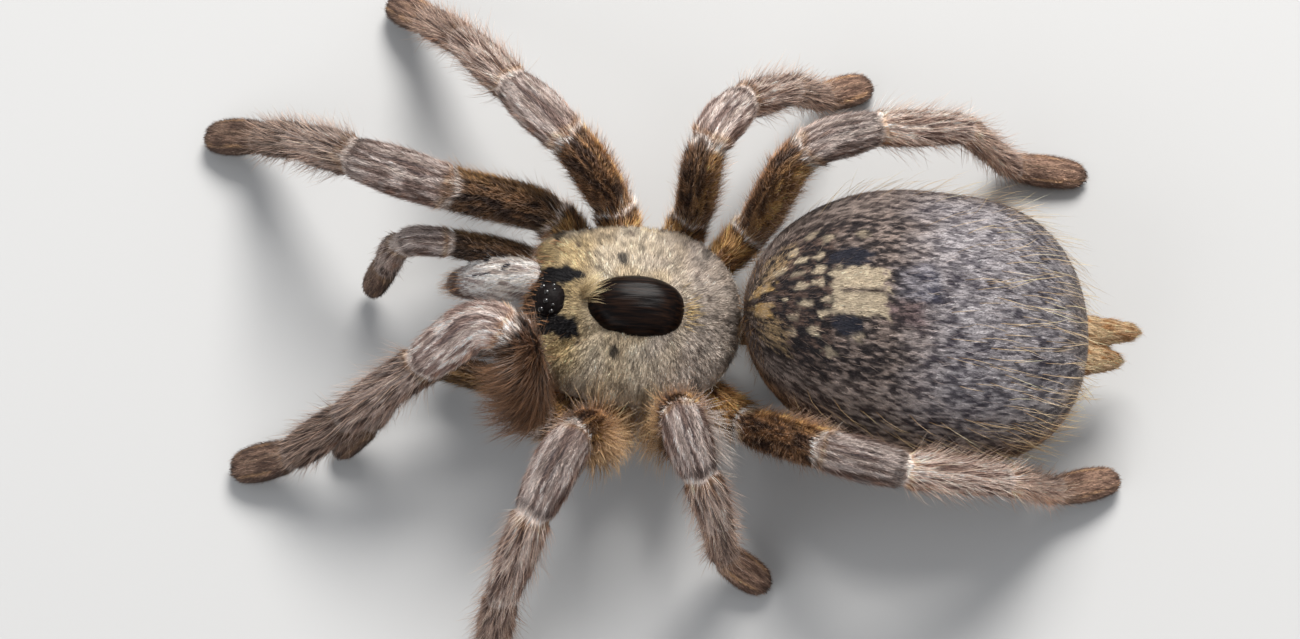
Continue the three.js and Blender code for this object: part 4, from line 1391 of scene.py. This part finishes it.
def build_eyes():
    black = plain_gloss("eye_black", (0.006, 0.005, 0.005), 0.06, 900, 0.00001)
    mound = plain_gloss("tubercle_black", (0.008, 0.006, 0.006), 0.5, 3500, 0.00006, 0.0)
    add_solid("eye_mound", dome_rings(TUBERCLE), mound, "horn", "eye_tubercle")
    for side, side_name in SIDES:
        for name, (x, y, radius) in EYES.items():
            across = x / (TUBERCLE["width"] / 2)
            ahead = (y - TUBERCLE["y"]) / (TUBERCLE["length"] / 2)
            rise = np.sqrt(1 - across**2 - ahead**2)
            height = TUBERCLE["base"] + TUBERCLE["height"] * rise - EYE_SINK * radius
            centre = swung(np.array([side * x, y, height]))
            node = f"eye_{name}_{side_name}"
            add_solid(node + "_lens", ball_rings(centre, radius), black, "eye", node)


def curved_cone(start, heading, down, shape, sides=16, steps=14):
    """A claw or fang: a cone that curls from its heading toward down."""
    share = np.linspace(0, 1, steps)
    angle = shape["curl"] * share
    along = heading * np.cos(angle)[:, None] + down * np.sin(angle)[:, None]
    middle = start + np.cumsum(along * (shape["length"] / steps), axis=0)
    side = unit(np.cross(heading, down))
    out = np.cross(along, side)
    across, up = ring_angles(sides)
    radius = (shape["base"] + (shape["tip"] - shape["base"]) * share**0.8)[:, None, None] / 2
    return middle[:, None] + (side * across[:, None])[None] * radius + out[:, None] * up[:, None] * radius


def build_fangs_and_claws():
    gloss = plain_gloss("fang_gloss", (0.028, 0.010, 0.006), 0.22, 1500, 0.00002)
    for side, side_name in SIDES:
        start = swung(np.array([side * CHELICERA["x"], CHELICERA["y"] - FANG["behind"], FANG["z"]]))
        heading = unit(np.array([-0.05 * side, 0.35, -0.94]))
        rings = curved_cone(start, heading, unit(np.array([0, 0.95, 0.3])), FANG)
        add_solid(f"fang_{side_name}_curve", rings, gloss, "fang", f"fang_{side_name}")
    claws = []
    for limb in LIMBS:
        for lean in (-1, 1):
            aside = limb.forward[-1] * CLAW["apart"] * lean
            start = limb.points[-8] + aside + limb.dorsal[-1] * CLAW["rise"]
            heading = unit(limb.along[-1] + CLAW["spread"] * lean * limb.forward[-1])
            claws.append(curved_cone(start, heading, -limb.dorsal[-1], CLAW, 8, 8))
    vertices, faces = lofts(claws)
    vertices[:, 2] = np.clip(vertices[:, 2], LOWEST_CLAW, None)
    add_object("claws", polygon_mesh("claws", vertices, faces), gloss, "fang")


def build_short_coat(skin, plate):
    density = segment_table(skin, *SHORT_DENSITY)
    upper = 0.55 + 0.45 * ramp(skin.n[:, 2], -0.5, 0.2)
    before_horn = bump(np.hypot(plate.q[:, 0] / 2.6, plate.q[:, 1] + 4.2), 0, 0.8)
    on_head = (plate.n[:, 2] > -0.3) * (1 - 0.9 * before_horn)
    on_limb = skin.part == LIMB_PART
    on_body = ~np.isin(skin.part, (ABDOMEN_PART, LIMB_PART))
    material = coat_material("coat_short")
    groups = [  # name, surface, where it grows, tufts, pieces and slot
        ("coat_abdomen", skin, skin.part == ABDOMEN_PART, 92000, 2, "abdomen_coat"),
        ("coat_head", plate, on_head, 26000, 1, "carapace_coat"),
        ("coat_body", skin, on_body, 17000, 1, "jaw_coat"),
        ("coat_left_limbs", skin, on_limb & (skin.limb < 5), 66000, 2, "leg_coat"),
        ("coat_right_limbs", skin, on_limb & (skin.limb > 4), 66000, 2, "leg_coat"),
    ]
    for name, surface, inside, count, pieces, slot in groups:
        weight = inside * (density * upper if surface is skin else 1.0)
        spots = scatter(surface, weight, count)
        clumped(spots, 0.25, 1.3)
        for piece in range(pieces):
            chosen = take(spots, np.arange(piece, count, pieces))
            add_strands(f"{name}_{piece + 1}", material, slot, chosen, short_look(chosen), 1)


def build_guard_coat(skin):
    """Longer, finer hairs with pale tips that stand out of the short coat."""
    weight = segment_table(skin, *GUARD_DENSITY) * (0.4 + 0.6 * ramp(skin.n[:, 2], -0.6, 0.1))
    spots = scatter(skin, weight, GUARD_COUNT)
    clumped(spots, 0.3, 0.9, 2)
    length = segment_table(spots, *GUARD_LENGTH)
    lift = segment_table(spots, *GUARD_LIFT)
    colour = paint(spots)
    tip = mix(colour * 1.2, PALE_TIP, 0.45)
    look = hair_look(spots, length, lift, 12, 0.038, colour * 0.8, tip)
    material = coat_material("coat_guard", 0.42, 0.5)
    for piece in range(2):
        chosen = np.arange(piece, GUARD_COUNT, 2)
        name = f"guard_coat_{piece + 1}"
        add_strands(name, material, "leg_coat", take(spots, chosen), take(look, chosen), 2)


# Long hairs of the limbs: limbs, segment, side in degrees from its top toward the head, spread,
# count, length, width, lift, colours of root and tip.
LONG_HAIRS = [
    ((1,), FEMUR, 10, 110, 1300, 4.6, 0.055, 24, (36, 24, 17), (154, 110, 76)),
    ((2,), FEMUR, -80, 80, 700, 4.2, 0.04, 44, (150, 106, 60), (224, 190, 150)),
    ((2,), COXA, -80, 70, 500, 3.4, 0.04, 36, (150, 106, 60), (224, 186, 140)),
    ((3,), COXA, 60, 90, 700, 4.0, 0.04, 44, (150, 106, 60), (224, 186, 140)),
    ((3,), FEMUR, 80, 60, 500, 3.0, 0.04, 34, (150, 106, 60), (224, 186, 140)),
    ((2, 3, 4, 7, 8, 9), FEMUR, -75, 50, 1600, 2.5, 0.04, 40, (150, 98, 50), (206, 176, 156)),
    (range(10), COXA, 0, 100, 900, 2.1, 0.04, 46, (150, 92, 42), (204, 148, 88)),
    ((3,), PATELLA, -90, 45, 200, 3.3, 0.04, 48, (150, 130, 118), (226, 212, 202)),
    (LEGS, TIBIA, 0, 170, 1000, 3.2, 0.04, 44, (128, 88, 62), (226, 200, 182)),
    (LEGS, METATARSUS, 0, 170, 800, 2.9, 0.04, 42, (120, 84, 62), (216, 186, 166)),
]


def long_limb_hairs(skin):
    for limbs, segment, side, spread, count, length, width, lift, root, tip in LONG_HAIRS:
        weight = np.zeros(len(skin.p))
        for index, limb, mine in on_limbs(skin):
            if index in limbs:
                i, t = segment_at(limb, skin.s[mine])
                off = (np.degrees(skin.turn[mine]) - side + 180) % 360 - 180
                weight[mine] = (i == segment) * (t < 0.85) * bump(off, 0, 1.4 * spread)
        spots = scatter(skin, weight, count)
        clumped(spots, 0.18, 1.2, 3)
        yield spots, hair_look(spots, length, lift, 20, width, srgb(*root), srgb(*tip))


def long_body_hairs(skin, plate):
    # Where each row grows on the skin.
    on_abdomen = skin.part == ABDOMEN_PART
    on_jaw = skin.part == JAW_PART
    y = skin.p[:, 1]
    rear = on_abdomen * ramp(y, 24, 36)
    flank = on_abdomen * ramp(np.abs(skin.turn), 0.9, 1.5) * ramp(y, 12, 20)
    front = on_abdomen * (1 - ramp(y, 10.8, 12.5))
    clypeus = on_jaw * ramp(skin.n[:, 2], 0.2, 0.6) * ramp(skin.q[:, 1], -12.5, -10.5)
    jaw_front = on_jaw * ramp(-skin.q[:, 1], 15, 17.5)
    # The same on the carapace's plate.
    x, along = plate.q[:, 0], plate.q[:, 1]
    upper = plate.n[:, 2] > -0.2
    rim = upper * (1 - ramp(plate.n[:, 2], 0.2, 0.6))
    horn_front = bump(np.hypot((x + 0.7) / 1.2, along + 4.6), 0, 0.7) * upper
    horn_rear = bump(np.hypot(x / 2.6, along - 5.0), 0, 0.7) * upper
    eyes = bump(np.hypot(x, along + 7.6), 2.0, 0.6) * upper
    face = ramp(-plate.n[:, 1], 0.2, 0.7) * (plate.n[:, 2] > 0)
    rows = [  # surface, weight, count, width, length, lift, lean, colours of root and tip
        (skin, rear, 450, 0.05, 4.6, 24, (0, 0.3, 0), (160, 130, 98), (244, 216, 172)),
        (skin, flank, 900, 0.055, 4.6, 28, (0, 0, 0), (160, 120, 76), (248, 214, 158)),
        (skin, front, 300, 0.045, 1.7, 40, (0, 0, 0), (58, 38, 24), (168, 122, 66)),
        (plate, rim, 700, 0.045, 1.7, 14, (0, 0.5, 0), (140, 122, 104), (218, 204, 184)),
        (plate, horn_front, 200, 0.03, 3.4, 72, (0, 2.4, 0), (170, 140, 98), (226, 204, 160)),
        (plate, horn_rear, 60, 0.045, 1.5, 40, (0, 0.5, 0), (160, 128, 82), (216, 190, 140)),
        (plate, eyes, 160, 0.045, 0.9, 40, (0, 0, 0), (20, 16, 16), (40, 32, 28)),
        (plate, face, 420, 0.045, 1.3, 50, (0, -0.6, 0), (92, 56, 34), (204, 150, 106)),
        (skin, clypeus, 240, 0.045, 1.4, 26, (0, 0, 0), (150, 132, 116), (240, 226, 210)),
        (skin, jaw_front, 260, 0.04, 1.9, 34, (0, 0, 0), (110, 72, 48), (214, 166, 124)),
    ]
    for surface, weight, count, width, length, lift, lean, root, tip in rows:
        spots = scatter(surface, weight, count)
        spots.lie = spots.lie + np.array(lean)
        spots.lie = laid_flat(spots)
        clumped(spots, 0.3, 1.2, 3)
        yield spots, hair_look(spots, length, lift, 0.8 * lift, width, srgb(*root), srgb(*tip))


def joined(items):
    """Several sets of values as one."""
    names = vars(items[0])
    return SimpleNamespace(**{name: np.concatenate([vars(item)[name] for item in items]) for name in names})


def build_long_hairs(skin, plate):
    groups = [*long_limb_hairs(skin), *long_body_hairs(skin, plate)]
    spots = joined([spots for spots, _ in groups])
    look = joined([look for _, look in groups])
    add_strands("guard_coat_long", coat_material("coat_long", 0.38, 0.5), "leg_coat", spots, look, 3)


# ---- Camera, floor and light -------------------------------------------------------------------

CAMERA_TARGET = np.array([-3.02, 1.43, 0.0])  # in the animal's frame
CAMERA_AZIMUTH = 92
CAMERA_ELEVATION = 70
CAMERA_DISTANCE = 400
FOCAL_PIXELS = 4215
FRAME_PIXELS = 1300
SENSOR = 36
FLOOR_HALF = 3.0  # metres
FLOOR_GREY = (0.46, 0.458, 0.455, 1)
SKY = (0.93, 0.96, 1, 1)
SKY_STRENGTH = 0.52


def add_camera():
    azimuth, elevation = np.radians([CAMERA_AZIMUTH, CAMERA_ELEVATION])
    ahead = np.cos(elevation)
    back = Vector((np.sin(azimuth) * ahead, -np.cos(azimuth) * ahead, np.sin(elevation)))
    right = Vector((np.cos(azimuth), np.sin(azimuth), 0))
    data = bpy.data.cameras.new("camera")
    data.sensor_width = SENSOR
    data.sensor_fit = "HORIZONTAL"
    data.lens = SENSOR * FOCAL_PIXELS / FRAME_PIXELS
    data.clip_start = 0.01
    data.clip_end = 20
    camera = link_object("camera", data)
    turn = Matrix((right, back.cross(right), back)).transposed()
    place = Vector((CAMERA_TARGET + ORIGIN) * MM) + back * CAMERA_DISTANCE * MM
    camera.matrix_world = Matrix.Translation(place) @ turn.to_4x4()
    bpy.context.scene.camera = camera


def add_floor():
    corners = [(x * FLOOR_HALF, y * FLOOR_HALF, 0) for x, y in ((-1, -1), (1, -1), (1, 1), (-1, 1))]
    mesh = bpy.data.meshes.new("floor")
    mesh.from_pydata(corners, [], [(0, 1, 2, 3)])
    floor = link_object("floor", mesh)
    material, _, shader = new_material("floor_pale", 0.6, 0.3)
    shader.inputs["Base Color"].default_value = FLOOR_GREY
    mesh.materials.append(material)


def add_light(name, place, size, power, colour):
    """A round lamp that points at the middle of the floor."""
    data = bpy.data.lights.new(name, "AREA")
    data.shape = "DISK"
    data.size = size
    data.energy = power
    data.color = colour
    light = link_object(name, data)
    light.location = place
    light.rotation_euler = (-Vector(place)).to_track_quat("-Z", "Y").to_euler()


def add_lights():
    add_light("key", (-0.62, 0.12, 0.66), 0.5, 13.5, (1, 0.98, 0.95))
    add_light("fill", (0.5, -0.6, 0.45), 0.8, 3.2, (0.95, 0.97, 1))
    world = bpy.data.worlds.new("world")
    world.use_nodes = True
    background = world.node_tree.nodes["Background"]
    background.inputs["Color"].default_value = SKY
    background.inputs["Strength"].default_value = SKY_STRENGTH
    bpy.context.scene.world = world
    bpy.context.scene.view_settings.view_transform = "Standard"


FLESH = ["abdomen", "pedicel", "sternum"]
FLESH += [f"{name}_{side}" for name in ("chelicera", "spinneret") for side in ("left", "right")]
FLESH += [name for name in sorted(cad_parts) if name.startswith(("leg_", "palp_"))]

add_camera()
add_floor()
add_lights()
skin = build_skin()
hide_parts(*FLESH)
plate = build_carapace()
build_horn()
build_eyes()
build_fangs_and_claws()
build_short_coat(skin, plate)
build_guard_coat(skin)
build_long_hairs(skin, plate)
